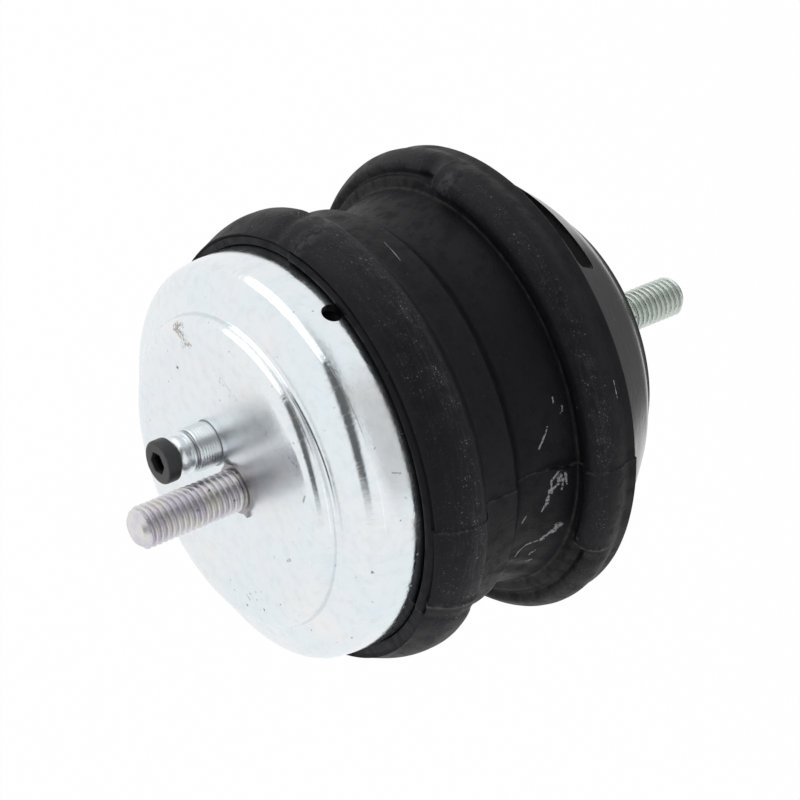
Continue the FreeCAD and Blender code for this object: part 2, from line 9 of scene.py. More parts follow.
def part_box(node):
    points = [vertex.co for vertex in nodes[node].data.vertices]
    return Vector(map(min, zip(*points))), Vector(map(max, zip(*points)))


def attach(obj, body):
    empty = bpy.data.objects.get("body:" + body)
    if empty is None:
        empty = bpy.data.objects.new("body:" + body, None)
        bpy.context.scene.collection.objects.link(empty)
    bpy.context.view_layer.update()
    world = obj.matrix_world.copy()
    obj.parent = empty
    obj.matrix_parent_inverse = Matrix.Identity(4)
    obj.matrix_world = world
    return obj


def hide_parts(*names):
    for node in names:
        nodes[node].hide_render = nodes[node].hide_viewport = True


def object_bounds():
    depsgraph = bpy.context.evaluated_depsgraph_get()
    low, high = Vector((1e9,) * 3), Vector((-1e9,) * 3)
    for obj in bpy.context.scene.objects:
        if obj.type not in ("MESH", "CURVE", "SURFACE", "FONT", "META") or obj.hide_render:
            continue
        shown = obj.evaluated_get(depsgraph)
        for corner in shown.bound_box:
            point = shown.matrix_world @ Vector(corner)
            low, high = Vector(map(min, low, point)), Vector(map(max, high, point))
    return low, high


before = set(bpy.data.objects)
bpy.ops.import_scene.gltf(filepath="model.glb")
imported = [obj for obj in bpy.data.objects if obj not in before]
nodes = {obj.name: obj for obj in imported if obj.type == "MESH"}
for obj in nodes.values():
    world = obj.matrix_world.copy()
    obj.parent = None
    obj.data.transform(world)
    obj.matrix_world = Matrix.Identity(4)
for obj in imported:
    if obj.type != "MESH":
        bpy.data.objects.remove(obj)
cadLow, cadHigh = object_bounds()
mm = 0.001
seamAngle = 90.0        # where every turned surface begins and ends, on the side away from the camera


# Lowest or highest level of a node of the frame, and its reach along +X, in millimetres
def bottom(node):
    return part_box(node)[0].z / mm


def top(node):
    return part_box(node)[1].z / mm


def reach(node):
    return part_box(node)[1].x / mm


baseTop, canTop = top("base_plate"), top("upper_can")
print("frame loaded:", len(nodes), "nodes, base plate's top at", round(baseTop, 2))


# Smooth step from 0 to 1 between two values
def ease(x, low, high):
    t = np.clip((x - low) / (high - low), 0.0, 1.0)
    return t * t * (3.0 - 2.0 * t)


# Bell curve of height 1, and one of a given height
def bell(x, centre, width):
    return np.exp(-((x - centre) / width) ** 2)


def hump(x, centre, width, height):
    return height * bell(x, centre, width)


# Signed distance in degrees from an angle to a direction
def turnFrom(angles, direction):
    return (angles - direction + 180.0) % 360.0 - 180.0


# How far an angle lies inside a sector: 1 inside, 0 outside, easing over its ends
def sectorWeight(angles, start, end, fade):
    half = (end - start) / 2
    away = np.abs(turnFrom(angles, (start + end) / 2))
    return 1.0 - ease(away, half - fade / 2, half + fade / 2)


# A slow wave round the axis that drifts with the height: a few sines with fixed phases
def unevenness(angles, height, seed, lowest=2, highest=9):
    draw = np.random.default_rng(seed)
    total = np.zeros(np.broadcast(angles, height).shape)
    for turns in range(lowest, highest):
        phase, drift = draw.uniform(0.0, 2 * math.pi), draw.uniform(-0.12, 0.12)
        total += np.sin(np.radians(angles) * turns + height * drift + phase) / turns
    return total


# Angles round the axis in degrees, closer together near the given features: the density
# is 1 plus a bell curve at each feature, and its running sum is divided evenly.
def spreadAngles(count, features=()):
    fine = np.linspace(seamAngle, seamAngle + 360.0, 20001)
    density = np.ones_like(fine)
    for centre, width, gain in features:
        density += gain * bell(turnFrom(fine, centre), 0.0, width)
    total = np.concatenate([[0.0], np.cumsum((density[1:] + density[:-1]) / 2)])
    return np.interp(np.linspace(0.0, total[-1], count + 1)[:-1], total, fine)


# A round section from corners: every corner becomes a quadratic curve that starts and ends
# its rounding away from the corner, and straight runs join the curves. corners has the shape
# (angles, corners, 2), a row is (radius, height), and two roundings share a short run.
def roundedSection(corners, roundings, runSteps, closed, bendSteps=7):
    reach = np.broadcast_to(np.asarray(roundings, float)[None, :, None], corners.shape[:2] + (1,))
    ahead = np.roll(corners, -1, axis=1) - corners
    aheadLength = np.maximum(np.linalg.norm(ahead, axis=2, keepdims=True), 1e-6)
    room = np.minimum(1.0, 0.98 * aheadLength / np.maximum(reach + np.roll(reach, -1, axis=1), 1e-6))
    reach = reach * np.minimum(room, np.roll(room, 1, axis=1))
    ends = corners + ahead / aheadLength * reach
    starts = corners - np.roll(ahead / aheadLength, 1, axis=1) * reach
    count = corners.shape[1]
    strips = []
    for k in range(count):
        if roundings[k] > 0.0:
            t = np.linspace(0.0, 1.0, bendSteps)[None, :, None]
            bend = (1 - t) ** 2 * starts[:, k:k + 1] + 2 * t * (1 - t) * corners[:, k:k + 1]
            strips.append(bend + t ** 2 * ends[:, k:k + 1])
        else:
            strips.append(corners[:, k:k + 1])
        if closed or k < count - 1:
            entry = starts[:, (k + 1) % count]
            s = np.linspace(0.0, 1.0, runSteps[k] + 2)[None, 1:-1, None]
            strips.append(ends[:, k:k + 1] + s * (entry - ends[:, k])[:, None])
    return np.concatenate(strips, axis=1)


# Corners of a bent sheet: the path, and the same path moved sideways by the wall.
# Neighbouring runs are moved apart and meet again where their lines cross.
def movedPath(path, wall):
    path = np.asarray(path, float)
    way = np.diff(path, axis=0)
    way /= np.linalg.norm(way, axis=1, keepdims=True)
    side = np.stack([way[:, 1], -way[:, 0]], axis=1)
    middle = side[:-1] + side[1:]
    middle /= (middle * side[1:]).sum(axis=1, keepdims=True)
    return path + wall * np.concatenate([side[:1], middle, side[-1:]])


# Outward direction of a section at every point, at right angles to its run
def sectionNormals(section, closed):
    if closed:
        run = np.roll(section, -1, axis=1) - np.roll(section, 1, axis=1)
    else:
        run = np.gradient(section, axis=1)
    run /= np.maximum(np.linalg.norm(run, axis=2, keepdims=True), 1e-9)
    return np.stack([-run[..., 1], run[..., 0]], axis=2)


# A turned surface: the point at angle a and section step j is
# (radius cos a, radius sin a, height), moved to the piece's own axis.
def latheMesh(name, section, angles, closed, centre=(0.0, 0.0)):
    a = np.radians(angles)[:, None]
    radius, height = section[..., 0], section[..., 1]
    points = np.stack([radius * np.cos(a) + centre[0], radius * np.sin(a) + centre[1], height], axis=2)
    turns, steps = radius.shape
    stepLength = np.linalg.norm(np.diff(section.mean(axis=0), axis=0), axis=1)
    along = np.concatenate([[0.0], np.cumsum(stepLength)])
    along = np.append(along, along[-1] + stepLength.mean())
    around = np.radians(np.append(angles, angles[0] + 360.0)) * radius.max()
    i, j = np.meshgrid(np.arange(turns), np.arange(steps if closed else steps - 1), indexing="ij")
    i, j = i.ravel(), j.ravel()
    here, nextTurn = i * steps, (i + 1) % turns * steps
    nextStep = (j + 1) % steps
    quads = np.stack([here + j, here + nextStep, nextTurn + nextStep, nextTurn + j], axis=1)
    surface = np.stack([around[i], along[j], around[i], along[j + 1],
                        around[i + 1], along[j + 1], around[i + 1], along[j]], axis=1)
    return gridMesh(name, points.reshape(-1, 3) * mm, quads, surface * mm)


# Writes one value per point on a mesh, for its material to read
def setValues(mesh, label, values):
    attribute = mesh.attributes.new(label, "FLOAT", "POINT")
    attribute.data.foreach_set("value", np.clip(values, 0.0, 1.0).astype(np.float32).ravel())


def gridMesh(name, points, quads, surface=None):
    mesh = bpy.data.meshes.new(name)
    mesh.from_pydata(points.tolist(), [], quads.tolist())
    if surface is not None:
        mesh.uv_layers.new(name="surface").data.foreach_set("uv", surface.astype(np.float32).ravel())
    mesh.polygons.foreach_set("use_smooth", np.ones(len(quads), bool))
    mesh.update()
    return mesh


# A closed cutter from four rows of points: the spine and the outline at one depth, then the
# outline and the spine at the other
def cutterMesh(name, rows):
    points = np.stack(rows, axis=1)
    i, j = (g.ravel() for g in np.meshgrid(np.arange(len(points)), np.arange(3), indexing="ij"))
    nextI = (i + 1) % len(points)
    quads = np.stack([i * 4 + j, i * 4 + j + 1, nextI * 4 + j + 1, nextI * 4 + j], axis=1)
    mesh = gridMesh(name, points.reshape(-1, 3) * mm, quads)
    cleanMesh(mesh, turnOut=True)
    return mesh


# Merges the points that share one place, such as a whole ring at a pole
def cleanMesh(mesh, turnOut=False):
    work = bmesh.new()
    work.from_mesh(mesh)
    bmesh.ops.remove_doubles(work, verts=work.verts, dist=1e-6)
    bmesh.ops.dissolve_degenerate(work, edges=work.edges, dist=1e-8)
    if turnOut:
        bmesh.ops.recalc_face_normals(work, faces=work.faces)
    work.to_mesh(mesh)
    work.free()


# Takes each cutter's form out of a mesh and keeps the result as plain faces
def cutMesh(mesh, cutters):
    cleanMesh(mesh)
    holder = bpy.data.objects.new("holder", mesh)
    bpy.context.scene.collection.objects.link(holder)
    tools = []
    for cutter in cutters:
        tool = bpy.data.objects.new("tool", cutter)
        bpy.context.scene.collection.objects.link(tool)
        tools.append(tool)
        cut = holder.modifiers.new("cut", "BOOLEAN")
        cut.operation = "DIFFERENCE"
        cut.solver = "EXACT"
        cut.object = tool
    bpy.context.view_layer.update()
    shaped = holder.evaluated_get(bpy.context.evaluated_depsgraph_get())
    result = bpy.data.meshes.new_from_object(shaped)
    for thing in [holder, *tools]:
        bpy.data.objects.remove(thing)
    return result


def addPiece(name, mesh, material, replaced, sharpAngle=38.0):
    cleanMesh(mesh)
    mesh.set_sharp_from_angle(angle=math.radians(sharpAngle))
    mesh.materials.clear()
    mesh.materials.append(material)
    piece = bpy.data.objects.new(name, mesh)
    bpy.context.scene.collection.objects.link(piece)
    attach(piece, "root")
    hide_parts(*replaced)
    print("piece", name, len(mesh.polygons), "faces")


def wire(source, target):
    source.id_data.links.new(source, target)


# Adds a node and fills its sockets: a socket is wired, anything else is set as its value. The
# node goes into the tree of the sockets that are wired to it, unless a tree is given.
def put(kind, settings=None, sockets=None, tree=None):
    sockets = sockets or {}
    wired = [value for value in sockets.values() if isinstance(value, bpy.types.NodeSocket)]
    made = (tree or wired[0].id_data).nodes.new(kind)
    for key, value in (settings or {}).items():
        setattr(made, key, value)
    for key, value in sockets.items():
        socket = made.inputs[key]
        if isinstance(value, bpy.types.NodeSocket):
            wire(value, socket)
        else:
            socket.default_value = (*value, 1.0) if socket.type == "RGBA" else value
    return made


def calc(operation, first, second=0.0, clamp=False):
    settings = {"operation": operation, "use_clamp": clamp}
    return put("ShaderNodeMath", settings, {0: first, 1: second}).outputs[0]


def times(first, second):
    return calc("MULTIPLY", first, second)


def plus(first, second):
    return calc("ADD", first, second)


def less(first, second):
    return calc("SUBTRACT", first, second)


def larger(first, second):
    return calc("MAXIMUM", first, second)


def vectorMath(operation, first, second=(0.0, 0.0, 0.0)):
    return put("ShaderNodeVectorMath", {"operation": operation}, {0: first, 1: second}).outputs


def scaled(vector, factor):
    sockets = {0: vector, "Scale": factor}
    return put("ShaderNodeVectorMath", {"operation": "SCALE"}, sockets).outputs[0]


# Mixes the second colour into the first by a mask times a share
def mixColour(mask, first, second, share=1.0):
    sockets = {0: times(mask, share), 6: first, 7: second}
    return put("ShaderNodeMix", {"data_type": "RGBA"}, sockets).outputs[2]


def between(value, low, high, toLow=0.0, toHigh=1.0):
    sockets = {"Value": value, "From Min": low, "From Max": high, "To Min": toLow, "To Max": toHigh}
    return put("ShaderNodeMapRange", {"interpolation_type": "SMOOTHSTEP"}, sockets).outputs[0]


def noiseFrom(place, scale, detail, roughness=0.5):
    sockets = {"Vector": place, "Scale": scale, "Detail": detail, "Roughness": roughness}
    return put("ShaderNodeTexNoise", None, sockets).outputs[0]


# Starts a node group: its inputs are a place and (name, default) pairs, its output is a mask
def newGroup(name, *inputs):
    tree = bpy.data.node_groups.new(name, "ShaderNodeTree")
    for label, value in (("Vector", (0.0, 0.0, 0.0)), *inputs):
        kind = "NodeSocketVector" if isinstance(value, tuple) else "NodeSocketFloat"
        tree.interface.new_socket(label, in_out="INPUT", socket_type=kind).default_value = value
    tree.interface.new_socket("Mask", in_out="OUTPUT", socket_type="NodeSocketFloat")
    return tree, tree.nodes.new("NodeGroupInput").outputs, tree.nodes.new("NodeGroupOutput").inputs[0]


# Soft patches: fractal noise between two thresholds
def makePatches():
    tree, given, mask = newGroup("patches", ("Scale", 100.0), ("Low", 0.45), ("High", 0.65))
    noise = noiseFrom(given["Vector"], given["Scale"], 5.0, 0.62)
    wire(between(noise, given["Low"], given["High"]), mask)
    return tree


# How far a speck's outline wobbles and how finely, its least size, and its full core
speckForm = {"wobble": 0.35, "wobbleScale": 2.5, "least": 0.25, "core": 0.6}


# Small separate specks: the cells of a Voronoi pattern, each with its own size, few of them filled
def makeSpecks():
    tree, given, mask = newGroup("specks", ("Scale", 600.0), ("Size", 0.25), ("Share", 0.2))
    here, scale = given["Vector"], given["Scale"]
    finer = times(scale, speckForm["wobbleScale"])
    wobble = put("ShaderNodeTexNoise", None, {"Vector": here, "Scale": finer}).outputs["Color"]
    moved = scaled(wobble, calc("DIVIDE", speckForm["wobble"], scale))
    bent = vectorMath("ADD", moved, here)[0]
    cells = put("ShaderNodeTexVoronoi", None, {"Vector": bent, "Scale": scale}).outputs
    lot = put("ShaderNodeSeparateColor", None, {0: cells["Color"]}).outputs
    size = times(given["Size"], plus(lot[1], speckForm["least"]))
    near = between(cells["Distance"], times(size, speckForm["core"]), size, 1.0, 0.0)
    wire(times(near, calc("LESS_THAN", lot[0], given["Share"])), mask)
    return tree


# Fine scratches along one way of the surface map: noise squeezed hard across that way
def makeScratches():
    inputs = (("Across", 3000.0), ("Along", 60.0), ("Low", 0.62), ("High", 0.7))
    tree, given, mask = newGroup("scratches", *inputs)
    parts = put("ShaderNodeSeparateXYZ", None, {0: given["Vector"]}).outputs
    squeezed = {"X": times(parts[0], given["Across"]), "Y": times(parts[1], given["Along"])}
    noise = noiseFrom(put("ShaderNodeCombineXYZ", None, squeezed).outputs[0], 1.0, 3.0, 0.6)
    wire(between(noise, given["Low"], given["High"]), mask)
    return tree


# Noises as (scale, detail) and how far the first moves a mark's edge in widths, how much of the
# width is full, and how soft the breaks are
markForm = {"edge": (420.0, 4.0), "edgeReach": 3.0, "core": 0.4, "crumbs": (1600.0, 3.0), "soft": 0.9}


# A rubbed mark: the distance to a short line, roughened by noise and broken up by finer noise
def makeMark():
    nowhere = (0.0, 0.0, 0.0)
    inputs = (("Start", nowhere), ("End", nowhere), ("Width", 0.001), ("Breaks", 0.5))
    tree, given, mask = newGroup("rubbedMark", *inputs)
    here, width, breaks = given["Vector"], given["Width"], given["Breaks"]
    line = vectorMath("SUBTRACT", given["End"], given["Start"])[0]
    away = vectorMath("SUBTRACT", here, given["Start"])[0]
    share = calc("DIVIDE", vectorMath("DOT_PRODUCT", away, line)["Value"],
                 vectorMath("DOT_PRODUCT", line, line)["Value"], clamp=True)
    gap = vectorMath("LENGTH", vectorMath("SUBTRACT", away, scaled(line, share))[0])["Value"]
    wander = times(less(noiseFrom(here, *markForm["edge"]), 0.5), markForm["edgeReach"])
    gap = plus(gap, times(wander, width))
    near = between(gap, times(width, markForm["core"]), width, 1.0, 0.0)
    crumbs = between(noiseFrom(here, *markForm["crumbs"]), times(breaks, markForm["soft"]), breaks)
    wire(times(near, crumbs), mask)
    return tree


patches, specks, scratches, rubbedMark = makePatches(), makeSpecks(), makeScratches(), makeMark()


# Uses a group, with its inputs in their order: the place first
def useGroup(group, *inputs):
    return put("ShaderNodeGroup", {"node_tree": group}, dict(enumerate(inputs))).outputs[0]


def newMaterial(name):
    material = bpy.data.materials.new(name)
    material.use_nodes = True
    tree = material.node_tree
    return material, tree, tree.nodes["Principled BSDF"]


def objectPlace(tree):
    return put("ShaderNodeTexCoord", tree=tree).outputs["Object"]


def surfacePlace(tree):
    return put("ShaderNodeUVMap", {"uv_map": "surface"}, tree=tree).outputs[0]


# A value that setValues wrote on the mesh
def meshValue(tree, label):
    return put("ShaderNodeAttribute", {"attribute_name": label}, tree=tree).outputs["Fac"]


# Wires colour, roughness and bumps to a shader; relief is how high the bumps are, in metres
def dress(shader, colour, roughness, height, relief):
    wire(colour, shader.inputs["Base Color"])
    wire(roughness, shader.inputs["Roughness"])
    bump = put("ShaderNodeBump", None, {"Height": height, "Distance": relief, "Strength": 1.0})
    wire(bump.outputs[0], shader.inputs["Normal"])


# A turned place on the part: angle in degrees, radius and height in millimetres
def onPart(angle, radius, height):
    a = math.radians(angle)
    return (radius * math.cos(a) * mm, radius * math.sin(a) * mm, height * mm)


# In the finishes, patches are (scale, noise level where they begin, level where they are full),
# specks are (scale, size in cells, share of cells that hold one), scratches and streaks are
# (scale across, scale along, level where they begin, level where they are full), grain is (scale,
# detail), and a share is how strongly the colour before it is laid on.
canFinish = {
    "clean": (0.76, 0.83, 0.865),
    "warm": (0.83, 0.84, 0.85), "warmPatches": (55.0, 0.3, 0.7),
    "mottle": (0.60, 0.67, 0.71), "mottlePatches": (330.0, 0.42, 0.74), "mottleShare": 0.34,
    "dark": (0.05, 0.05, 0.055), "pits": (480.0, 0.20, 0.20), "pitZones": (90.0, 0.48, 0.62),
    "pitShare": 0.75,
    "stain": (0.30, 0.26, 0.22), "crumbs": (800.0, 0.24, 0.035), "crumbShare": 0.6,
    # the next colour is painted shade, laid where the mesh's shade values say so
    "black": (0.004, 0.004, 0.005),
    "scratches": (2600.0, 90.0, 0.55, 0.75),
    "grain": (900.0, 4.0),
    "relief": 0.00006, "grainRelief": 0.45, "scratchRelief": 0.15,
    "roughness": (0.11, 0.19), "portRoughness": (0.24, 0.34),
    # what scratches, the matt values of the mesh and pits add to the roughness
    "rougher": (0.10, 0.16, 0.3),
}

# Stains on the can's top and wall: start and end as (angle, radius, height), width in
# millimetres, how broken the stain is, and how strong
canMarks = (
    ((-9.5, 34.8, canTop), (-11.5, 31.6, canTop), 2.0, 0.46, 0.80),
    ((-32.0, 26.4, canTop), (-52.0, 24.3, canTop), 1.0, 0.56, 0.30),
    ((-148.2, 26.6, canTop), (-151.5, 25.8, canTop), 0.35, 0.45, 0.75),
    ((157.8, 30.7, canTop), (155.5, 29.6, canTop), 0.30, 0.45, 0.70),
    ((-108.4, 33.3, canTop), (-111.0, 32.1, canTop), 0.28, 0.44, 0.70),
    ((-93.0, 31.5, canTop), (-96.5, 33.4, canTop), 0.40, 0.50, 0.60),
    ((-126.3, 48.4, 91.6), (-127.5, 48.4, 89.8), 0.35, 0.45, 0.75),
    ((-105.4, 48.4, 83.2), (-106.3, 48.4, 81.2), 0.25, 0.42, 0.65),
)


# Zinc plating on the can and the port: pale and a little blue, cloudy and mottled, with hair
# scratches, pits and crumbs, painted shade in black where the mesh's shade values say so, and more matt where
# its matt values say so
def makeCanFinish(name, roughness):
    material, tree, shader = newMaterial(name)
    place = objectPlace(tree)
    clouds = useGroup(patches, place, *canFinish["warmPatches"])
    colour = mixColour(clouds, canFinish["clean"], canFinish["warm"])
    mottle = useGroup(patches, place, *canFinish["mottlePatches"])
    colour = mixColour(mottle, colour, canFinish["mottle"], canFinish["mottleShare"])
    for start, end, width, breaks, depth in canMarks:
        mark = useGroup(rubbedMark, place, onPart(*start), onPart(*end), width * mm, breaks)
        colour = mixColour(mark, colour, canFinish["stain"], depth)
    pits = useGroup(specks, place, *canFinish["pits"])
    pits = times(pits, useGroup(patches, place, *canFinish["pitZones"]))
    colour = mixColour(pits, colour, canFinish["dark"], canFinish["pitShare"])
    crumbs = useGroup(specks, place, *canFinish["crumbs"])
    colour = mixColour(crumbs, colour, canFinish["stain"], canFinish["crumbShare"])
    # Painted shade: blackened where the mesh's shade values say so, as in the port's bore and grooves
    colour = mixColour(meshValue(tree, "shade"), colour, canFinish["black"])
    drawn = useGroup(scratches, surfacePlace(tree), *canFinish["scratches"])
    rough = between(clouds, 0.0, 1.0, *roughness)
    for mask, gain in zip((drawn, meshValue(tree, "matt"), pits), canFinish["rougher"]):
        rough = plus(rough, times(mask, gain))
    height = times(noiseFrom(place, *canFinish["grain"]), canFinish["grainRelief"])
    height = less(less(height, times(drawn, canFinish["scratchRelief"])), pits)
    dress(shader, colour, rough, height, canFinish["relief"])
    shader.inputs["Metallic"].default_value = 1.0
    return material


studFinish = {
    "silver": (0.72, 0.71, 0.72), "silverTint": 0.55,
    "green": (0.64, 0.70, 0.65), "greenTint": 0.10,
    "violet": (0.57, 0.53, 0.65), "violetPatches": (160.0, 0.42, 0.6),
    "straw": (0.76, 0.72, 0.63), "strawPatches": (230.0, 0.52, 0.66),
    "dark": (0.05, 0.05, 0.055), "pits": (700.0, 0.25, 0.12), "pitShare": 0.7,
    # the next colour is painted shade, laid in the thread's valleys and along the collar
    "paintedShade": (0.10, 0.085, 0.07),
    "grain": (1800.0, 4.0), "grainLevels": (0.3, 0.7), "roughness": (0.26, 0.46),
    "relief": 0.00006,
}


# Passivated stud: silver or greenish, with violet and straw patches as strong as its tint,
# small pits, and painted shade in the thread's valleys and along the collar where the mesh's values say so
def makeStudFinish(name, base):
    material, tree, shader = newMaterial(name)
    place = objectPlace(tree)
    colour = studFinish[base]
    for tone in ("violet", "straw"):
        patch = useGroup(patches, place, *studFinish[tone + "Patches"])
        colour = mixColour(patch, colour, studFinish[tone], studFinish[base + "Tint"])
    pits = useGroup(specks, place, *studFinish["pits"])
    colour = mixColour(pits, colour, studFinish["dark"], studFinish["pitShare"])
    colour = mixColour(meshValue(tree, "shade"), colour, studFinish["paintedShade"])
    grain = noiseFrom(place, *studFinish["grain"])
    rough = between(grain, *studFinish["grainLevels"], *studFinish["roughness"])
    dress(shader, colour, rough, less(grain, pits), studFinish["relief"])
    shader.inputs["Metallic"].default_value = 1.0
    return material


rubberFinish = {
    "black": (0.0055, 0.0050, 0.0068),
    "grey": (0.0112, 0.0105, 0.0130), "greyPatches": (60.0, 0.35, 0.7), "greyShare": 0.35,
    "talc": (0.085, 0.083, 0.090), "talcPatches": (300.0, 0.4, 0.7), "patchShare": 0.34,
    "talcStreaks": (130.0, 1100.0, 0.42, 0.72), "streakShare": 0.30,
    "chalk": (0.40, 0.40, 0.41), "chalkPatches": (520.0, 0.4, 0.62), "dustInPatches": (0.9, 0.1),
    "markShare": (0.85, 1.0),
    "specular": 0.16,
    "roughness": (0.50, 0.66),
    "grain": (1500.0, 5.0), "dents": (210.0, 3.0),
    "relief": 0.00025, "grainRelief": 0.3,
}

# Rubbed white marks on the waist and the lower ring: start and end as (angle, height above the
# base plate), width in millimetres, and how broken the mark is
rubberMarks = (
    ((-124.8, 14.1), (-127.4, 15.9), 0.28, 0.42), ((-125.7, 12.5), (-129.6, 12.0), 0.36, 0.46),
    ((-126.0, 13.6), (-128.9, 14.1), 0.65, 0.48), ((-128.9, 14.1), (-130.5, 16.2), 0.36, 0.44),
    ((-127.4, 15.9), (-131.5, 15.6), 0.32, 0.44), ((-130.5, 16.2), (-134.5, 16.6), 0.60, 0.43),
    ((-134.5, 16.6), (-137.4, 17.6), 0.26, 0.42), ((-127.5, 13.0), (-131.0, 13.2), 0.30, 0.47),
    ((-137.4, 21.6), (-139.5, 22.6), 0.20, 0.40),
    ((-144.3, 12.2), (-146.3, 13.6), 1.10, 0.46), ((-146.3, 13.6), (-149.3, 15.9), 0.75, 0.46),
    ((-149.3, 15.9), (-150.7, 19.1), 0.40, 0.44), ((-150.7, 19.1), (-154.6, 21.5), 0.24, 0.38),
    ((-154.5, 16.0), (-156.1, 17.1), 0.28, 0.48), ((-159.2, 16.1), (-159.6, 16.5), 0.50, 0.50),
    ((-110.9, 15.6), (-112.7, 16.3), 0.22, 0.46), ((-112.7, 16.3), (-116.5, 18.2), 0.26, 0.44),
    ((-106.5, 11.5), (-108.1, 11.8), 0.45, 0.56), ((-103.4, 13.0), (-105.0, 13.1), 0.25, 0.50),
    ((-103.1, 2.1), (-107.1, 2.2), 0.22, 0.44), ((-44.8, 31.4), (-52.9, 32.1), 0.13, 0.40),
)
# Talc dust in three sizes: scale, speck size in cells, share of cells that hold one, strength
# away from the talc, and the strength it gains in it
rubberDust = ((2600.0, 0.38, 0.42, 0.02, 0.75), (1400.0, 0.30, 0.26, 0.04, 0.85),
              (640.0, 0.15, 0.06, 0.20, 0.50))
unrollRadius = 50.0     # angles become lengths at this radius where marks are placed


def unrolled(angle, height):
    return (math.radians(angle) * unrollRadius * mm, (baseTop + height) * mm, 0.0)


# Moulded rubber: matt black, greyer where it is rubbed, with talc and dust on the crests and
# chalk where the mesh's values and the marks say so
def makeRubberFinish():
    material, tree, shader = newMaterial("mouldedRubber")
    place = objectPlace(tree)
    talc, chalk = meshValue(tree, "talc"), meshValue(tree, "chalk")
    broad = useGroup(patches, place, *rubberFinish["greyPatches"])
    colour = mixColour(broad, rubberFinish["black"], rubberFinish["grey"], rubberFinish["greyShare"])
    cloudy = useGroup(patches, place, *rubberFinish["talcPatches"])
    streaks = useGroup(scratches, surfacePlace(tree), *rubberFinish["talcStreaks"])
    film = plus(times(cloudy, rubberFinish["patchShare"]), times(streaks, rubberFinish["streakShare"]))
    colour = mixColour(talc, colour, rubberFinish["talc"], film)
    inside, outside = rubberFinish["dustInPatches"]
    inPatches = plus(times(cloudy, inside), outside)
    for scale, size, share, low, high in rubberDust:
        dust = times(useGroup(specks, place, scale, size, share), plus(times(talc, high), low))
        colour = mixColour(dust, colour, rubberFinish["chalk"], inPatches)
    broken = useGroup(patches, place, *rubberFinish["chalkPatches"])
    colour = mixColour(chalk, colour, rubberFinish["chalk"], broken)
    parts = put("ShaderNodeSeparateXYZ", None, {0: place}).outputs
    turned = times(calc("ARCTAN2", parts[1], parts[0]), unrollRadius * mm)
    flat = put("ShaderNodeCombineXYZ", None, {"X": turned, "Y": parts[2]}).outputs[0]
    marked = between(chalk, 0.0, 1.0, *rubberFinish["markShare"])
    for start, end, width, breaks in rubberMarks:
        mark = useGroup(rubbedMark, flat, unrolled(*start), unrolled(*end), width * mm, breaks)
        colour = mixColour(mark, colour, rubberFinish["chalk"], marked)
    rough = between(cloudy, 0.0, 1.0, *rubberFinish["roughness"])
    height = times(noiseFrom(place, *rubberFinish["grain"]), rubberFinish["grainRelief"])
    height = plus(height, noiseFrom(place, *rubberFinish["dents"]))
    dress(shader, colour, rough, height, rubberFinish["relief"])
    shader.inputs["Specular IOR Level"].default_value = rubberFinish["specular"]
    return material


cupFinish = {
    "black": (0.0045, 0.0045, 0.0052),
    "haze": (0.007, 0.007, 0.008), "hazePatches": (80.0, 0.35, 0.7),
    "dust": (0.2, 0.2, 0.2), "dustSpecks": (500.0, 0.16, 0.06), "dustShare": 0.5,
    "roughness": (0.14, 0.22),
    "specular": 0.3,
    "ripple": (420.0, 2.0), "relief": 0.00005,
}


# Black stoved paint on the cup: glossy, with a faint orange-peel ripple and a little dust
def makeCupFinish():
    material, tree, shader = newMaterial("blackPaint")
    place = objectPlace(tree)
    haze = useGroup(patches, place, *cupFinish["hazePatches"])
    colour = mixColour(haze, cupFinish["black"], cupFinish["haze"])
    dust = useGroup(specks, place, *cupFinish["dustSpecks"])
    colour = mixColour(dust, colour, cupFinish["dust"], cupFinish["dustShare"])
    rough = between(haze, 0.0, 1.0, *cupFinish["roughness"])
    dress(shader, colour, rough, noiseFrom(place, *cupFinish["ripple"]), cupFinish["relief"])
    shader.inputs["Specular IOR Level"].default_value = cupFinish["specular"]
    return material


# Any other metal or moulded piece: two tones in clouds, the roughness that follows them, and how
# metallic it is
plainFinishes = {
    "blackPlastic": ((0.016, 0.016, 0.018), (0.028, 0.028, 0.031), (0.42, 0.55), 0.0),
    "sheetSteel": ((0.42, 0.42, 0.43), (0.5, 0.49, 0.48), (0.3, 0.45), 1.0),
    "castAluminium": ((0.62, 0.62, 0.63), (0.7, 0.7, 0.71), (0.45, 0.6), 1.0),
    "innerRubber": ((0.014, 0.014, 0.015), (0.022, 0.022, 0.023), (0.5, 0.62), 0.0),
    "glycol": ((0.30, 0.46, 0.40), (0.36, 0.52, 0.45), (0.08, 0.12), 0.0),
}
plainForm = {"clouds": (140.0, 0.35, 0.68), "grain": (900.0, 4.0), "relief": 0.00005}


def makePlainFinish(name):
    first, second, roughness, metallic = plainFinishes[name]
    material, tree, shader = newMaterial(name)
    place = objectPlace(tree)
    clouds = useGroup(patches, place, *plainForm["clouds"])
    grain = noiseFrom(place, *plainForm["grain"])
    rough = between(clouds, 0.0, 1.0, *roughness)
    dress(shader, mixColour(clouds, first, second), rough, grain, plainForm["relief"])
    shader.inputs["Metallic"].default_value = metallic
    return material


zincCan = makeCanFinish("zincCan", canFinish["roughness"])
zincPort = makeCanFinish("zincPort", canFinish["portRoughness"])
zincStud = makeStudFinish("zincStud", "silver")
zincStudLower = makeStudFinish("zincStudLower", "green")
mouldedRubber = makeRubberFinish()
blackPaint = makeCupFinish()
plain = {name: makePlainFinish(name) for name in plainFinishes}
print("materials made:", len(bpy.data.materials))

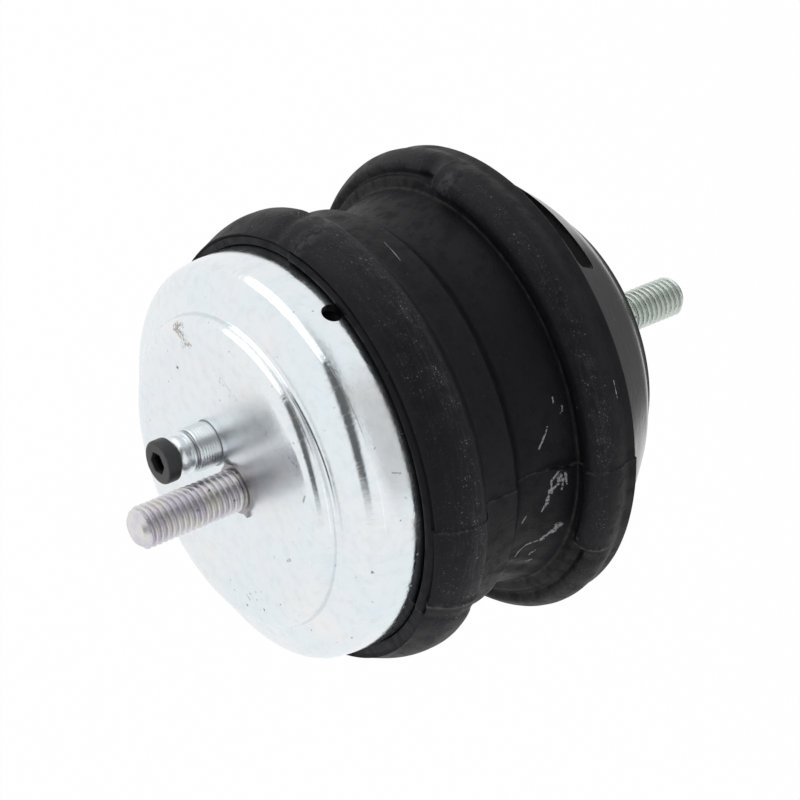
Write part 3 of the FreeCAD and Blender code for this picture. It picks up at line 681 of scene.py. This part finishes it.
# The upper can: corners of its outer face from the middle to the crimped edge, how far each
# rounding reaches along the runs, the shallow rings pressed or worn into its top as (radius,
# width, depth), and the radii between which its top turns from matt to bright
canLow, canRadius = bottom("upper_can"), reach("upper_can")
can = {
    "path": ((0.0, canTop), (37.6, canTop), (37.6, canTop - 4.4), (47.3, canTop - 7.05),
             (canRadius, canTop - 13.0), (canRadius, canLow), (canRadius - 6.4, canLow)),
    "roundings": (0.0, 3.5, 0.8, 3.2, 3.0, 2.2, 0.0),
    "innerRoundings": (0.0, 0.3, 2.0, 2.0, 2.6, 1.6, 0.0),
    "runs": (14, 1, 12, 3, 14, 4),
    "wall": 2.0,
    "turns": 360,
    "rings": ((33.4, 0.40, 0.06), (40.9, 0.34, 0.11), (43.6, 0.32, 0.12)),
    "topLevel": 90.0,
    "matt": (33.0, 35.5),
    "wave": 0.03, "waveFrom": (8.0, 30.0), "waveSeed": 5,
    "drain": {"angle": -60.0, "height": baseTop + 54.8, "radius": 2.4, "depth": 4.0, "steps": 96},
}


def buildCan():
    path = np.array(can["path"])
    inner = movedPath(path, can["wall"])[::-1]
    inner[-1, 0] = 0.0
    angles = spreadAngles(can["turns"])
    corners = np.repeat(np.concatenate([path, inner])[None], can["turns"], axis=0)
    runs = [*can["runs"], 1, *can["runs"][::-1], 0]
    section = roundedSection(corners, [*can["roundings"], *can["innerRoundings"]], runs, False)
    radius, height = section[..., 0], section[..., 1]
    wave = can["wave"] * unevenness(angles[:, None], height, can["waveSeed"])
    shift = wave * ease(radius, *can["waveFrom"])
    onTop = height > can["topLevel"]
    for ring in can["rings"]:
        shift = shift - hump(radius, *ring) * onTop
    section = section + sectionNormals(section, False) * shift[..., None]
    mesh = latheMesh("upperCan", section, angles, False)
    setValues(mesh, "matt", (1.0 - ease(radius, *can["matt"])) * onTop)
    drain = can["drain"]
    a = math.radians(drain["angle"])
    turn = np.linspace(0.0, 2 * math.pi, drain["steps"], endpoint=False)
    rows = []
    # The drain's cutter is a cylinder square to the wall: along is round the can, across is up
    for size, side in ((0.0, -1), (drain["radius"], -1), (drain["radius"], 1), (0.0, 1)):
        along, across, out = size * np.cos(turn), size * np.sin(turn), canRadius + side * drain["depth"]
        rows.append(np.stack([out * math.cos(a) - along * math.sin(a),
                              out * math.sin(a) + along * math.cos(a), drain["height"] + across], axis=1))
    mesh = cutMesh(mesh, [cutterMesh("drainCutter", rows)])
    addPiece("upperCan", mesh, zincCan, ["upper_can"])


buildCan()

# M10 thread: coarse pitch, with narrow crests and broad rolled valleys. valley is where the
# wave leaves the crest and where it reaches the bottom, runOut where the thread ends at its seat.
# Also the depths below the crest at which the painted shade in the valleys begins and is full
thread = {
    "crest": 4.97, "depth": 0.80, "pitch": 1.5, "stepsPerTurn": 12, "turns": 96, "valley": (0.06, 0.74),
    "runOut": (0.4, 1.8), "wear": 0.03, "wearDrift": 6.0, "edge": 0.04, "edgeStep": 0.10,
    "noseSteps": 7, "noseReach": (0.94, 0.99), "core": 3.5, "shadeDepth": (0.15, 0.8), "collarZone": 0.75,
}
# The studs' last two values are how strongly painted shade darkens the thread's valleys and the collar
upperStud = {
    "centre": (-3.6, -3.6), "tip": top("upper_stud"), "chamfer": 1.4, "seat": canTop, "collarHeight": 0.7,
    "collarRadius": 5.9, "earReach": 7.0, "earWidth": 5.2, "neck": 5.3, "headTop": canTop - 2.0,
    "headLow": bottom("upper_stud"), "headRadius": 7.8, "seed": 11, "paintedShade": 0.30, "collarShade": 0.55,
}
lowerStud = {
    "centre": (0.0, 0.0), "tip": bottom("lower_stud"), "chamfer": 1.4, "seat": 0.0, "collarHeight": 0.0,
    "neck": 5.3, "headTop": 2.5, "headLow": top("lower_stud"), "headRadius": reach("lower_stud"),
    "seed": 12, "paintedShade": 0.16, "collarShade": 0.0,
}


# Radius of the thread at an angle and height: the crest less the depth times a flattened wave
# of the phase, height over pitch less the turn; the chamfer's cone limits it.
def threadRadius(angles, heights, stud, up):
    phase = (heights * up / thread["pitch"] - angles * up / 360.0) % 1.0
    valley = ease(np.abs(2.0 * phase - 1.0), *thread["valley"])
    cone = thread["crest"] - stud["chamfer"] + np.abs(heights - stud["tip"])
    worn = thread["wear"] * unevenness(angles, heights * thread["wearDrift"], stud["seed"])
    runOut = ease(np.abs(heights - stud["seat"]), *thread["runOut"])
    return np.minimum(thread["crest"] + worn - thread["depth"] * valley * runOut, cone)


def buildStud(name, stud, up, material, replaced):
    angles = spreadAngles(thread["turns"])
    shaftEnd = stud["seat"] + up * stud["collarHeight"]
    count = int(abs(stud["tip"] - shaftEnd) / thread["pitch"] * thread["stepsPerTurn"])
    edge = stud["tip"] - up * thread["edge"]
    heights = np.linspace(edge - up * thread["edgeStep"], shaftEnd, count)
    heights = np.append([stud["tip"], edge], heights)[None, :]
    shaft = threadRadius(angles[:, None], heights, stud, up)
    inner, outer = thread["noseReach"]
    nose = shaft[:, :1] * np.append(np.linspace(0.0, inner, thread["noseSteps"]), outer)[None, :]
    strips = [np.stack([nose, nose * 0 + stud["tip"]], axis=2)]
    strips.append(np.stack([shaft, shaft * 0 + heights], axis=2))
    if stud["collarHeight"] > 0.0:
        turn = np.radians(angles)
        ears = 1.0 / (np.abs(np.cos(turn)) / stud["earReach"] + np.abs(np.sin(turn)) / stud["earWidth"])
        rim = np.maximum(stud["collarRadius"], ears)
        for height in (shaftEnd, stud["seat"]):
            strips.append(np.stack([rim, rim * 0 + height], axis=1)[:, None])
    neck, head = stud["neck"], stud["headRadius"]
    tail = [(neck, stud["seat"]), (neck, stud["headTop"]), (head, stud["headTop"]), (head, stud["headLow"]),
            (0.0, stud["headLow"])]
    strips.append(np.repeat(np.array(tail)[None], thread["turns"], axis=0))
    section = np.concatenate(strips, axis=1)
    if up < 0:
        section = section[:, ::-1]
    mesh = latheMesh(name, section, angles, False, stud["centre"])
    radius, height = section[..., 0], section[..., 1]
    # Painted shade: the valleys darken with their depth below the crest, and the collar's rows darken too
    onThread = (np.abs(height - stud["tip"]) > stud["chamfer"]) * (radius > thread["core"])
    paintedShade = stud["paintedShade"] * ease(thread["crest"] - radius, *thread["shadeDepth"]) * onThread
    onCollar = np.abs(height - shaftEnd) < thread["collarZone"]
    setValues(mesh, "shade", paintedShade + stud["collarShade"] * onCollar)
    addPiece(name, mesh, material, [replaced], sharpAngle=55.0)


buildStud("upperStud", upperStud, 1.0, zincStud, "upper_stud")
buildStud("lowerStud", lowerStud, -1.0, zincStudLower, "lower_stud")

# The air port: a turned tube, from its end inside the can up to its tip and back down the bore.
# shades are painted shade in its grooves as (level, width, strength); above shadedFrom, inside the ring, all
# of it is painted dark.
ringLow, ringTop, tipTop = bottom("port_ring"), top("port_ring"), top("port_stub")
barrelTop = ringLow - 5.0
port = {
    "centre": (8.3, -0.6), "turns": 96,
    "outline": ((2.9, tipTop), (2.9, ringLow), (3.3, ringLow), (4.5, ringLow - 1.0), (4.5, ringLow - 2.7),
                (4.1, ringLow - 3.4), (5.0, ringLow - 3.6), (5.0, ringLow - 4.3), (4.55, ringLow - 4.3),
                (4.55, barrelTop), (5.25, barrelTop), (5.25, canTop + 0.8), (5.6, canTop + 0.8),
                (5.6, canTop), (4.0, canTop), (4.0, bottom("port_stub")), (1.8, bottom("port_stub")),
                (1.8, tipTop)),
    "roundings": (0.3, 0.2, 0.1, 0.9, 0.8, 0.1, 0.25, 0.25, 0.1, 0.1, 0.35, 0.2, 0.3, 0.0, 0.0, 0.2, 0.0,
                  0.2),
    "barrel": (4.9, canTop + 0.9, barrelTop - 0.5), "barrelEnds": 0.4, "barrelRun": 10, "barrelSteps": 26,
    "toolMarks": 0.045, "toolWaves": 9.0,
    "shadedFrom": ringLow + 0.2,
    "shades": ((canTop + 0.85, 0.16, 0.75), (ringLow - 4.6, 0.3, 0.8)),
}
portRing = {
    "radius": 5.15, "low": ringLow, "high": ringTop, "hole": 2.75, "blunt": 0.97, "tip": 2.92,
    "tipHigh": tipTop, "roundings": (0.25, 0.7, 0.7, 0.0, 0.0, 0.0), "runs": (5, 5, 3, 2, 1, 2), "turns": 144,
    "partings": (88.0, -92.0), "parting": (0.0, 3.0, 0.12), "partingFrom": 4.6,
}


def buildPort():
    angles = spreadAngles(port["turns"])
    outline = np.array(port["outline"])
    corners = np.repeat(outline[None], port["turns"], axis=0)
    runs = [4 if abs(a[1] - b[1]) > 1.0 else 1 for a, b in zip(outline, np.roll(outline, -1, axis=0))]
    runs[port["barrelRun"]] = port["barrelSteps"]
    section = roundedSection(corners, port["roundings"], runs, True, bendSteps=5)
    radius, low, high = port["barrel"]
    height, fade = section[..., 1], port["barrelEnds"]
    onBarrel = ease(height, low, low + fade) * (1 - ease(height, high - fade, high))
    onBarrel = onBarrel * (section[..., 0] > radius)
    section[..., 0] += port["toolMarks"] * np.sin(height * port["toolWaves"]) * onBarrel
    mesh = latheMesh("portStub", section, angles, True, port["centre"])
    # Painted shade: the part inside the ring and the grooves are darkened in colour
    shade = (height > port["shadedFrom"]) * 1.0
    for groove in port["shades"]:
        shade = shade + hump(height, *groove)
    setValues(mesh, "shade", shade)
    addPiece("portStub", mesh, zincPort, ["port_stub"])


# The ring's hole is six-sided: its radius is the flat's distance over the cosine of the
# angle from the nearest flat, blunted at the corners.
def buildPortRing():
    ring = portRing
    angles = spreadAngles(ring["turns"])
    fromFlat = np.radians(angles % 60.0 - 30.0)
    hole = np.minimum(ring["hole"] * math.cos(math.pi / 6) / np.cos(fromFlat), ring["hole"] * ring["blunt"])
    rows = ((hole, ring["high"]), (ring["radius"], ring["high"]), (ring["radius"], ring["low"]),
            (ring["tip"], ring["low"]), (ring["tip"], ring["tipHigh"]), (hole, ring["tipHigh"]))
    corners = np.stack([np.stack([hole * 0 + out, hole * 0 + level], axis=1) for out, level in rows], axis=1)
    section = roundedSection(corners, ring["roundings"], ring["runs"], True, bendSteps=6)
    seams = sum(hump(turnFrom(angles, direction), *ring["parting"]) for direction in ring["partings"])
    section[..., 0] += seams[:, None] * (section[..., 0] > ring["partingFrom"])
    mesh = latheMesh("portRing", section, angles, True, port["centre"])
    addPiece("portRing", mesh, plain["blackPlastic"], ["port_ring"])


buildPort()
buildPortRing()

# The lower cup: corners of its outer face from the seat's middle to the crimped edge. A window's
# outline is a rectangle with rounded corners, as wide as given along the cone.
cupTop, cupRadius = top("lower_cup"), reach("lower_cup")
cup = {
    "path": ((0.0, 0.0), (34.2, 0.0), (35.2, 1.6), (41.0, 6.4), (cupRadius, 22.6), (cupRadius, cupTop),
             (cupRadius - 5.9, cupTop)),
    "roundings": (0.0, 0.5, 0.5, 3.0, 1.3, 2.4, 0.0),
    "innerRoundings": (0.0, 2.0, 2.0, 3.0, 1.0, 0.3, 0.0),
    "runs": (12, 1, 8, 24, 3, 3),
    "wall": 2.5,
    "turns": 420,
    "window": {"radius": 49.5, "width": 10.2, "span": 70.0, "corner": 2.2, "depth": 5.0,
               "angles": (-40.0, 140.0)},
}


def buildCup():
    path = np.array(cup["path"])
    inner = movedPath(path, -cup["wall"])
    inner[0, 0] = 0.0
    turns = cup["turns"]
    angles = spreadAngles(turns)
    corners = np.repeat(np.concatenate([inner, path[::-1]])[None], turns, axis=0)
    runs = [*cup["runs"], 1, *cup["runs"][::-1], 0]
    section = roundedSection(corners, [*cup["innerRoundings"], *cup["roundings"][::-1]], runs, False)
    mesh = latheMesh("lowerCup", section, angles, False)
    window = cup["window"]
    slope = (path[4] - path[3]) / np.linalg.norm(path[4] - path[3])
    outward = np.array([slope[1], -slope[0]])
    middle = path[3] + slope * (window["radius"] - path[3][0]) / slope[0]

    # A window's cutter is bent round the cup: along is turned into an angle, across climbs
    # the cone, and depth goes square to it.
    def windowCutter(angle):
        def place(along, across, depth):
            radius = middle[0] + across * slope[0] + depth * outward[0]
            height = middle[1] + across * slope[1] + depth * outward[1]
            turn = math.radians(angle) + along / window["radius"]
            return np.stack([radius * np.cos(turn), radius * np.sin(turn), height + 0 * along], axis=1)
        return bentCutter(place, math.radians(window["span"]) * window["radius"] / 2, window["width"] / 2,
                          window["corner"], window["depth"])

    mesh = cutMesh(mesh, [windowCutter(angle) for angle in window["angles"]])
    addPiece("lowerCup", mesh, blackPaint, ["lower_cup"])


# A long cutter whose sides follow the bend: the outline is a rectangle with rounded corners,
# divided evenly, and both ends of the depth are closed on its spine.
def bentCutter(place, halfLength, halfWidth, corner, depth, steps=180):
    turn = np.linspace(0.0, 2 * math.pi, 33)[:-1] + math.pi / 32
    along = np.sign(np.cos(turn)) * (halfLength - corner) + corner * np.cos(turn)
    across = np.sign(np.sin(turn)) * (halfWidth - corner) + corner * np.sin(turn)
    along, across = np.append(along, along[0]), np.append(across, across[0])
    run = np.concatenate([[0.0], np.cumsum(np.hypot(np.diff(along), np.diff(across)))])
    even = np.union1d(run, np.linspace(0.0, run[-1], steps))[:-1]
    along, across = np.interp(even, run, along), np.interp(even, run, across)
    spine = np.clip(along, -halfLength + halfWidth, halfLength - halfWidth)
    return cutterMesh("windowCutter", [place(spine, spine * 0, -depth), place(along, across, -depth),
                                       place(along, across, depth), place(spine, spine * 0, depth)])


buildCup()

# The rubber body. Each line is a corner of its section: radius and height above the base plate
# where the rings are plain, the same where they stand up as a lip or a block if that differs,
# the drift that the corner follows round the axis, its rounding, and the steps to the next.
rubber = {
    "corners": (
        ((48.45, 52.20), (48.45, 51.10), "still", 0.05, 1),   # edge against the can
        ((48.75, 52.50), (48.80, 53.20), "still", 0.60, 1),   # lip, inner side
        ((50.40, 52.50), (50.60, 53.20), "still", 0.80, 2),   # lip, outer side
        ((50.75, 52.20), (50.95, 51.70), "ridge", 0.15, 1),   # hollow beside the ridge
        ((51.35, 52.75), (51.45, 52.70), "ridge", 0.15, 1),   # thin ridge
        ((51.20, 51.90), None, "upper", 1.00, 2),             # brow
        ((54.00, 47.00), None, "upper", 2.60, 3),             # crest, front
        ((54.00, 41.00), None, "upper", 2.00, 6),             # crest, back
        ((49.40, 37.90), None, "root", 1.20, 7),              # back of the upper ring
        ((49.40, 27.80), None, "still", 0.60, 4),             # step's edge
        ((46.20, 24.80), None, "still", 2.20, 3),             # step's foot
        ((45.70, 20.80), None, "still", 5.00, 10),            # waist
        ((48.70, 9.30), None, "still", 0.70, 4),              # foot of the lower ring's face
        ((51.40, 9.10), (50.80, 9.40), "still", 0.40, 2),     # face
        ((52.10, 8.00), (52.00, 11.25), "lower", 0.50, 2),    # groove, or the block's inner edge
        ((54.30, 8.90), (54.10, 10.95), "lower", 1.10, 3),    # shoulder
        ((57.70, 4.90), (57.60, 6.20), "lower", 4.00, 6),     # crest of the lower ring
        ((56.20, 1.30), None, "still", 0.60, 1),              # skirt's upper edge
        ((56.20, -1.50), None, "still", 0.40, 1),             # skirt's outer edge
        ((54.50, -1.50), None, "still", 0.20, 2),             # skirt's inner edge
        ((54.50, 2.60), None, "still", 0.00, 1),
        ((48.40, 2.60), None, "still", 0.00, 1),
        ((48.40, 0.00), None, "still", 0.00, 2),
        ((24.00, 0.00), None, "still", 0.00, 1),              # the hollow, up to the support ring
        ((24.00, 8.00), None, "still", 1.50, 2),
        ((30.80, 25.30), None, "still", 1.50, 2),
        ((30.80, 37.30), None, "still", 0.00, 0),
        ((32.00, 37.30), None, "still", 0.00, 0),
        ((32.00, 34.80), None, "still", 0.00, 1),
        ((41.80, 34.80), None, "still", 0.00, 0),
        ((41.80, 32.70), None, "still", 0.00, 1),
        ((48.45, 32.70), None, "still", 0.00, 2),             # back up along the can
    ),
    # how far a corner goes outwards and upwards, and the angle at which it goes furthest
    "drifts": {"still": (0.0, 0.0, 0.0), "upper": (2.1, 0.0, -100.0), "root": (0.0, -1.43, -100.0),
               "lower": (0.9, 0.0, -110.0), "ridge": (0.45, 0.0, -145.0)},
    "browCorner": 5, "ridgeCorner": 4, "browOver": 0.3,
    "turns": 560,
    "lip": (-151.0, -37.0), "lipFade": 1.4,
    "block": (-147.0, -33.5), "blockFade": 2.6,
    "splitHeight": 25.0,
    "waistRadius": 50.0,
    # ridges and hollows across the lower ring: angle, width and rise in millimetres
    "rims": ((-39.5, 2.4, 0.25), (-30.0, 2.0, -0.50), (-146.3, 0.8, 0.35), (-151.0, 1.6, -0.25)),
    "partings": (-123.3, 56.7),
    # the partings' thin flash, what its two flaps add as (level, width, height), the height of one
    # half of the mould over the other, how far round that goes, and the chalk on the flash
    "flash": {"width": 0.20, "height": 0.16, "waistFlap": (13.6, 3.0, 2.2), "stepFlap": (26.0, 1.2, 0.3),
              "halves": 0.30, "halvesReach": 14.0, "chalk": 0.08, "flapChalk": (13.0, 4.0, 0.16)},
    # soft folds in the waist: start and end as (angle, height), width and rise in millimetres
    "folds": (((-150.5, 28.4), (-161.4, 12.6), 1.5, 0.55), ((-160.0, 24.0), (-166.5, 11.8), 1.3, -0.50),
              ((-163.0, 26.0), (-171.5, 11.6), 1.5, 0.55)),
    # waves of the free outside: height in millimetres, drift, and the seed and range of the sines
    "waves": ((0.10, 2.0, (3,)), (0.03, 9.0, (4, 9, 40))),
    # chalk on the foot of the lower ring's face: across the radius and up
    "footChalk": ((48.9, 0.16, 0.16), (9.6, 0.35, 1.0)), "rimChalk": 0.35,
    # how uneven chalk and talc are: mean, swing, and the seed and range of the sines
    "chalkUneven": (0.5, 0.9, 8, 9, 60), "talcUneven": (0.75, 0.35, 21),
    # talc on the crests: level, width and strength, and the radii where it begins and is full
    "talc": (((43.6, 2.2, 1.0), (51.5, 53.5)), ((8.2, 2.4, 0.55), (53.5, 56.0)),
             ((48.5, 3.5, 0.35), (51.0, 51.001)), ((27.7, 0.5, 0.15), (48.0, 48.001))),
}


def buildRubber():
    lines, flash = rubber["corners"], rubber["flash"]
    features = [(angle, 1.1, 7.0) for angle in rubber["partings"]]
    features += [(angle, 1.5, 3.0) for angle in (*rubber["lip"], *rubber["block"])]
    angles = spreadAngles(rubber["turns"], features)
    column = angles[:, None]
    onLip = sectorWeight(column, *rubber["lip"], rubber["lipFade"])
    onBlock = sectorWeight(column, *rubber["block"], rubber["blockFade"])
    plainCorners = np.array([line[0] for line in lines])[None]
    raised = np.array([line[1] or line[0] for line in lines])[None]
    drift = np.array([rubber["drifts"][line[2]] for line in lines])[None]
    share = np.where(plainCorners[..., 1] > rubber["splitHeight"], onLip, onBlock)[..., None]
    corners = plainCorners * (1 - share) + raised * share
    corners = corners + np.cos(np.radians(column - drift[..., 2]))[..., None] * drift[..., :2]
    brow, ridge = rubber["browCorner"], rubber["ridgeCorner"]
    corners[:, brow, 0] = np.maximum(corners[:, brow, 0], corners[:, ridge, 0] + rubber["browOver"])
    corners[..., 1] += baseTop
    section = roundedSection(corners, [line[3] for line in lines], [line[4] for line in lines], True)
    radius, height = section[..., 0].copy(), section[..., 1].copy()
    above = height - baseTop
    # Only the moulding's free outside moves: not its hollow, nor where it meets the can and the plate
    outside = (radius > 44.5) * (above > 4.0) + (radius > 55.0) * (above <= 4.0)
    outside = outside * ((above < 32.0) | (radius > 48.9)) * (1 - (above > 50.5) * (radius < 50.9))
    onWaist = radius < rubber["waistRadius"]

    def uneven(mean, swing, *sines):
        return mean + swing * unevenness(column, height, *sines)

    shift = 0.0 * height
    for size, drifting, sines in rubber["waves"]:
        shift = shift + size * unevenness(column, height * drifting, *sines) * outside
    acrossFoot, upFoot = rubber["footChalk"]
    chalk = hump(radius, *acrossFoot) * hump(above, *upFoot) * uneven(*rubber["chalkUneven"])
    around = 2 * math.pi * unrollRadius
    flatPlace = np.stack([np.radians(column) * unrollRadius + above * 0.0, above], axis=2)
    for start, end, width, rise in rubber["folds"]:
        first, last = (np.array([math.radians(turn) * unrollRadius, level]) for turn, level in (start, end))
        run = last - first
        away = flatPlace - first
        away[..., 0] = (away[..., 0] + around / 2) % around - around / 2
        share = np.clip((away @ run) / (run @ run), 0.0, 1.0)
        gap = np.linalg.norm(away - share[..., None] * run, axis=2)
        shift = shift + hump(gap, 0.0, width, rise) * bell(share, 0.5, 0.6) * outside * onWaist
    onRing = ease(radius, 50.8, 51.8) * ease(above, 3.0, 7.0)
    for direction, width, rise in rubber["rims"]:
        rim = bell(np.radians(turnFrom(column, direction)) * radius, 0.0, width) * onRing
        shift = shift + rise * rim
        chalk = chalk + max(rise, 0.0) * rubber["rimChalk"] * rim
    for direction in rubber["partings"]:
        away = turnFrom(column, direction)
        awayMm = np.radians(away) * radius
        tall = flash["height"] + hump(above, *flash["waistFlap"]) * onWaist + hump(above, *flash["stepFlap"])
        crease = bell(awayMm, 0.0, flash["width"])
        halves = (0.5 - ease(awayMm, -0.3, 0.3)) * hump(away, 0.0, flash["halvesReach"], flash["halves"])
        shift = shift + (crease * tall + halves) * outside
        chalk = chalk + (flash["chalk"] + hump(above, *flash["flapChalk"]) * onWaist) * crease * outside
    section = section + sectionNormals(section, True) * shift[..., None]
    mesh = latheMesh("rubberBody", section, angles, True)
    talc = sum(hump(above, *band) * ease(radius, *reached) for band, reached in rubber["talc"])
    setValues(mesh, "talc", talc * uneven(*rubber["talcUneven"]))
    setValues(mesh, "chalk", chalk)
    addPiece("rubberBody", mesh, mouldedRubber, ["rubber_body"], sharpAngle=60.0)


buildRubber()

# Which finish each inner node gets
innerNodes = {
    "sheetSteel": ("air_bell", "support_ring", "stop_post", "post_rivet", "fill_plug", "base_plate"),
    "castAluminium": ("track_plate_upper", "track_plate_lower"),
    "innerRubber": ("diaphragm", "decoupler", "seal_ring", "stop_buffer"),
    "glycol": ("fluid_filling",),
}
for finish, names in innerNodes.items():
    for nodeName in names:
        nodes[nodeName].data.materials.clear()
        nodes[nodeName].data.materials.append(plain[finish])
print("finishes set on", sum(map(len, innerNodes.values())), "inner nodes")

# The camera looks at the part's side from 31 degrees above, turned so that the axis lies
# across the picture. Rows are the camera's right, up and back directions in the part's frame.
camera = {
    "place": (1.1, -625.5, 417.7),
    "right": (-0.37544, -0.47254, -0.79734),
    "up": (0.92685, -0.19141, -0.32298),
    "back": (0.0, -0.86028, 0.50983),
    "lens": 139.9,
    "sensor": 36.0,
    "clip": (0.05, 20.0),
}


def buildCamera():
    data = bpy.data.cameras.new("camera")
    data.lens, data.sensor_width = camera["lens"], camera["sensor"]
    data.clip_start, data.clip_end = camera["clip"]
    seen = bpy.data.objects.new("camera", data)
    bpy.context.scene.collection.objects.link(seen)
    axes = Matrix((camera["right"], camera["up"], camera["back"])).transposed()
    seen.matrix_world = Matrix.Translation(Vector(camera["place"]) * mm) @ axes.to_4x4()
    bpy.context.scene.camera = seen


# A direction of the picture (to the right, upwards, towards the camera) in the part's frame
def pictureWay(parts):
    way = sum((Vector(camera[k]) * d for k, d in zip(("right", "up", "back"), parts)), Vector())
    return way.normalized()


# Each lamp has its direction in the picture and its distance from the part's middle
lamps = {
    "topBox": {"direction": (-0.15, 1.0, 0.35), "distance": 0.9, "size": (1.1, 0.75), "power": 2.5},
    "leftBox": {"direction": (-0.97, -0.22, 0.14), "distance": 1.0, "size": (0.6, 0.8), "power": 3.0,
                "shines": False},
    "rightBox": {"direction": (1.0, -0.3, 0.3), "distance": 1.1, "size": (0.7, 1.0), "power": 2.0},
}
lampTarget = Vector((0.0, 0.0, 0.045))


def addLamp(name, direction, distance, size, power, shines=True):
    data = bpy.data.lights.new(name, "AREA")
    data.shape, data.energy = "RECTANGLE", power
    data.size, data.size_y = size
    lamp = bpy.data.objects.new(name, data)
    lamp.visible_glossy = shines
    bpy.context.scene.collection.objects.link(lamp)
    lamp.location = lampTarget + pictureWay(direction) * distance
    lamp.rotation_mode = "QUATERNION"
    lamp.rotation_quaternion = (lampTarget - lamp.location).to_track_quat("-Z", "Y")


studio = {"worldLight": 0.62, "seenWhite": 1.0, "floorDrop": 0.06, "floorHalf": 6.0, "floorTone": 0.8,
          "floorRoughness": 0.9, "floorSeen": 1.0, "floorShare": 0.985}

# A dark strip of the room behind the camera, which only shines back from metal and gloss. In the
# picture's directions (right, up, towards the camera): the strip's own side, how far from its
# middle it is full and ends, how far up and down it reaches, and how much light it takes away.
darkStrip = {"side": (0.878, -0.476, 0.057), "full": 0.18, "ends": 0.40, "back": (0.30, 0.52),
             "below": (-0.75, -0.45), "depth": 0.86}

# Painted shade on the floor, which only shines back from metal and gloss: a painted shadow at the
# part's own foot, and painted darker places in front of it and far off to the side. Centre in
# metres, where each ends and is full, and how much it takes away.
floorShades = ((-0.01, -0.02, 0.095, 0.055, 0.72), (-0.10, -0.50, 0.36, 0.18, 0.32),
               (1.6, -2.2, 2.2, 1.6, 0.80))


# The kinds of ray in a tree, and whether a ray comes straight or through glass from the camera
def rays(tree):
    ray = put("ShaderNodeLightPath", tree=tree).outputs
    return ray, larger(ray["Is Camera Ray"], ray["Is Transmission Ray"])


def buildWorld():
    world = bpy.data.worlds.new("studio")
    bpy.context.scene.world = world
    world.use_nodes = True
    background = world.node_tree.nodes["Background"]
    ray, clear = rays(world.node_tree)
    heading = put("ShaderNodeTexCoord", tree=world.node_tree).outputs["Generated"]

    def along(parts):
        return vectorMath("DOT_PRODUCT", heading, tuple(pictureWay(parts)))["Value"]

    strip = between(calc("ABSOLUTE", along(darkStrip["side"])), darkStrip["full"], darkStrip["ends"],
                    darkStrip["depth"], 0.0)
    strip = times(strip, between(along((0.0, 0.0, 1.0)), *darkStrip["back"]))
    strip = times(strip, between(along((0.0, 1.0, 0.0)), *darkStrip["below"]))
    mirrored = less(less(studio["seenWhite"], strip), studio["worldLight"])
    strength = plus(times(ray["Is Glossy Ray"], mirrored), studio["worldLight"])
    wire(larger(strength, times(clear, studio["seenWhite"])), background.inputs["Strength"])
    background.inputs["Color"].default_value = (1.0, 1.0, 1.0, 1.0)


# The floor glows evenly for the camera, and with its painted shade in metal and gloss
def buildFloor():
    half, level = studio["floorHalf"], cadLow[2] - studio["floorDrop"]
    sides = ((-half, -half), (half, -half), (half, half), (-half, half))
    mesh = gridMesh("floor", np.array([(x, y, level) for x, y in sides]), np.array([(0, 1, 2, 3)]))
    floor = bpy.data.objects.new("floor", mesh)
    bpy.context.scene.collection.objects.link(floor)
    material, tree, shader = newMaterial("paleFloor")
    shader.inputs["Base Color"].default_value = (*[studio["floorTone"]] * 3, 1.0)
    shader.inputs["Roughness"].default_value = studio["floorRoughness"]
    ray, clear = rays(tree)
    clear = larger(clear, ray["Is Glossy Ray"])
    spot = put("ShaderNodeSeparateXYZ", None, {0: objectPlace(tree)}).outputs
    shown = studio["floorSeen"]
    # Painted shade: the floor's glow for metal and gloss is lowered round each of these places
    for x, y, outer, inner, depth in floorShades:
        squares = plus(calc("POWER", less(spot[0], x), 2.0), calc("POWER", less(spot[1], y), 2.0))
        shown = less(shown, between(calc("POWER", squares, 0.5), inner, outer, depth, 0.0))
    shown = larger(shown, times(ray["Is Camera Ray"], studio["floorSeen"]))
    glow = put("ShaderNodeEmission", None, {"Strength": shown})
    mix = put("ShaderNodeMixShader", None,
              {0: times(clear, studio["floorShare"]), 1: shader.outputs[0], 2: glow.outputs[0]})
    # From below the floor is clear, so the part's underside can be looked at
    behind = put("ShaderNodeNewGeometry", tree=tree).outputs["Backfacing"]
    clearSide = put("ShaderNodeBsdfTransparent", tree=tree)
    sided = put("ShaderNodeMixShader", None, {0: behind, 1: mix.outputs[0], 2: clearSide.outputs[0]})
    wire(sided.outputs[0], tree.nodes["Material Output"].inputs["Surface"])
    mesh.materials.append(material)


buildCamera()
buildWorld()
buildFloor()
for name, lamp in lamps.items():
    addLamp(name, **lamp)
bpy.context.scene.view_settings.view_transform = "Standard"
print("camera, lamps and floor made")
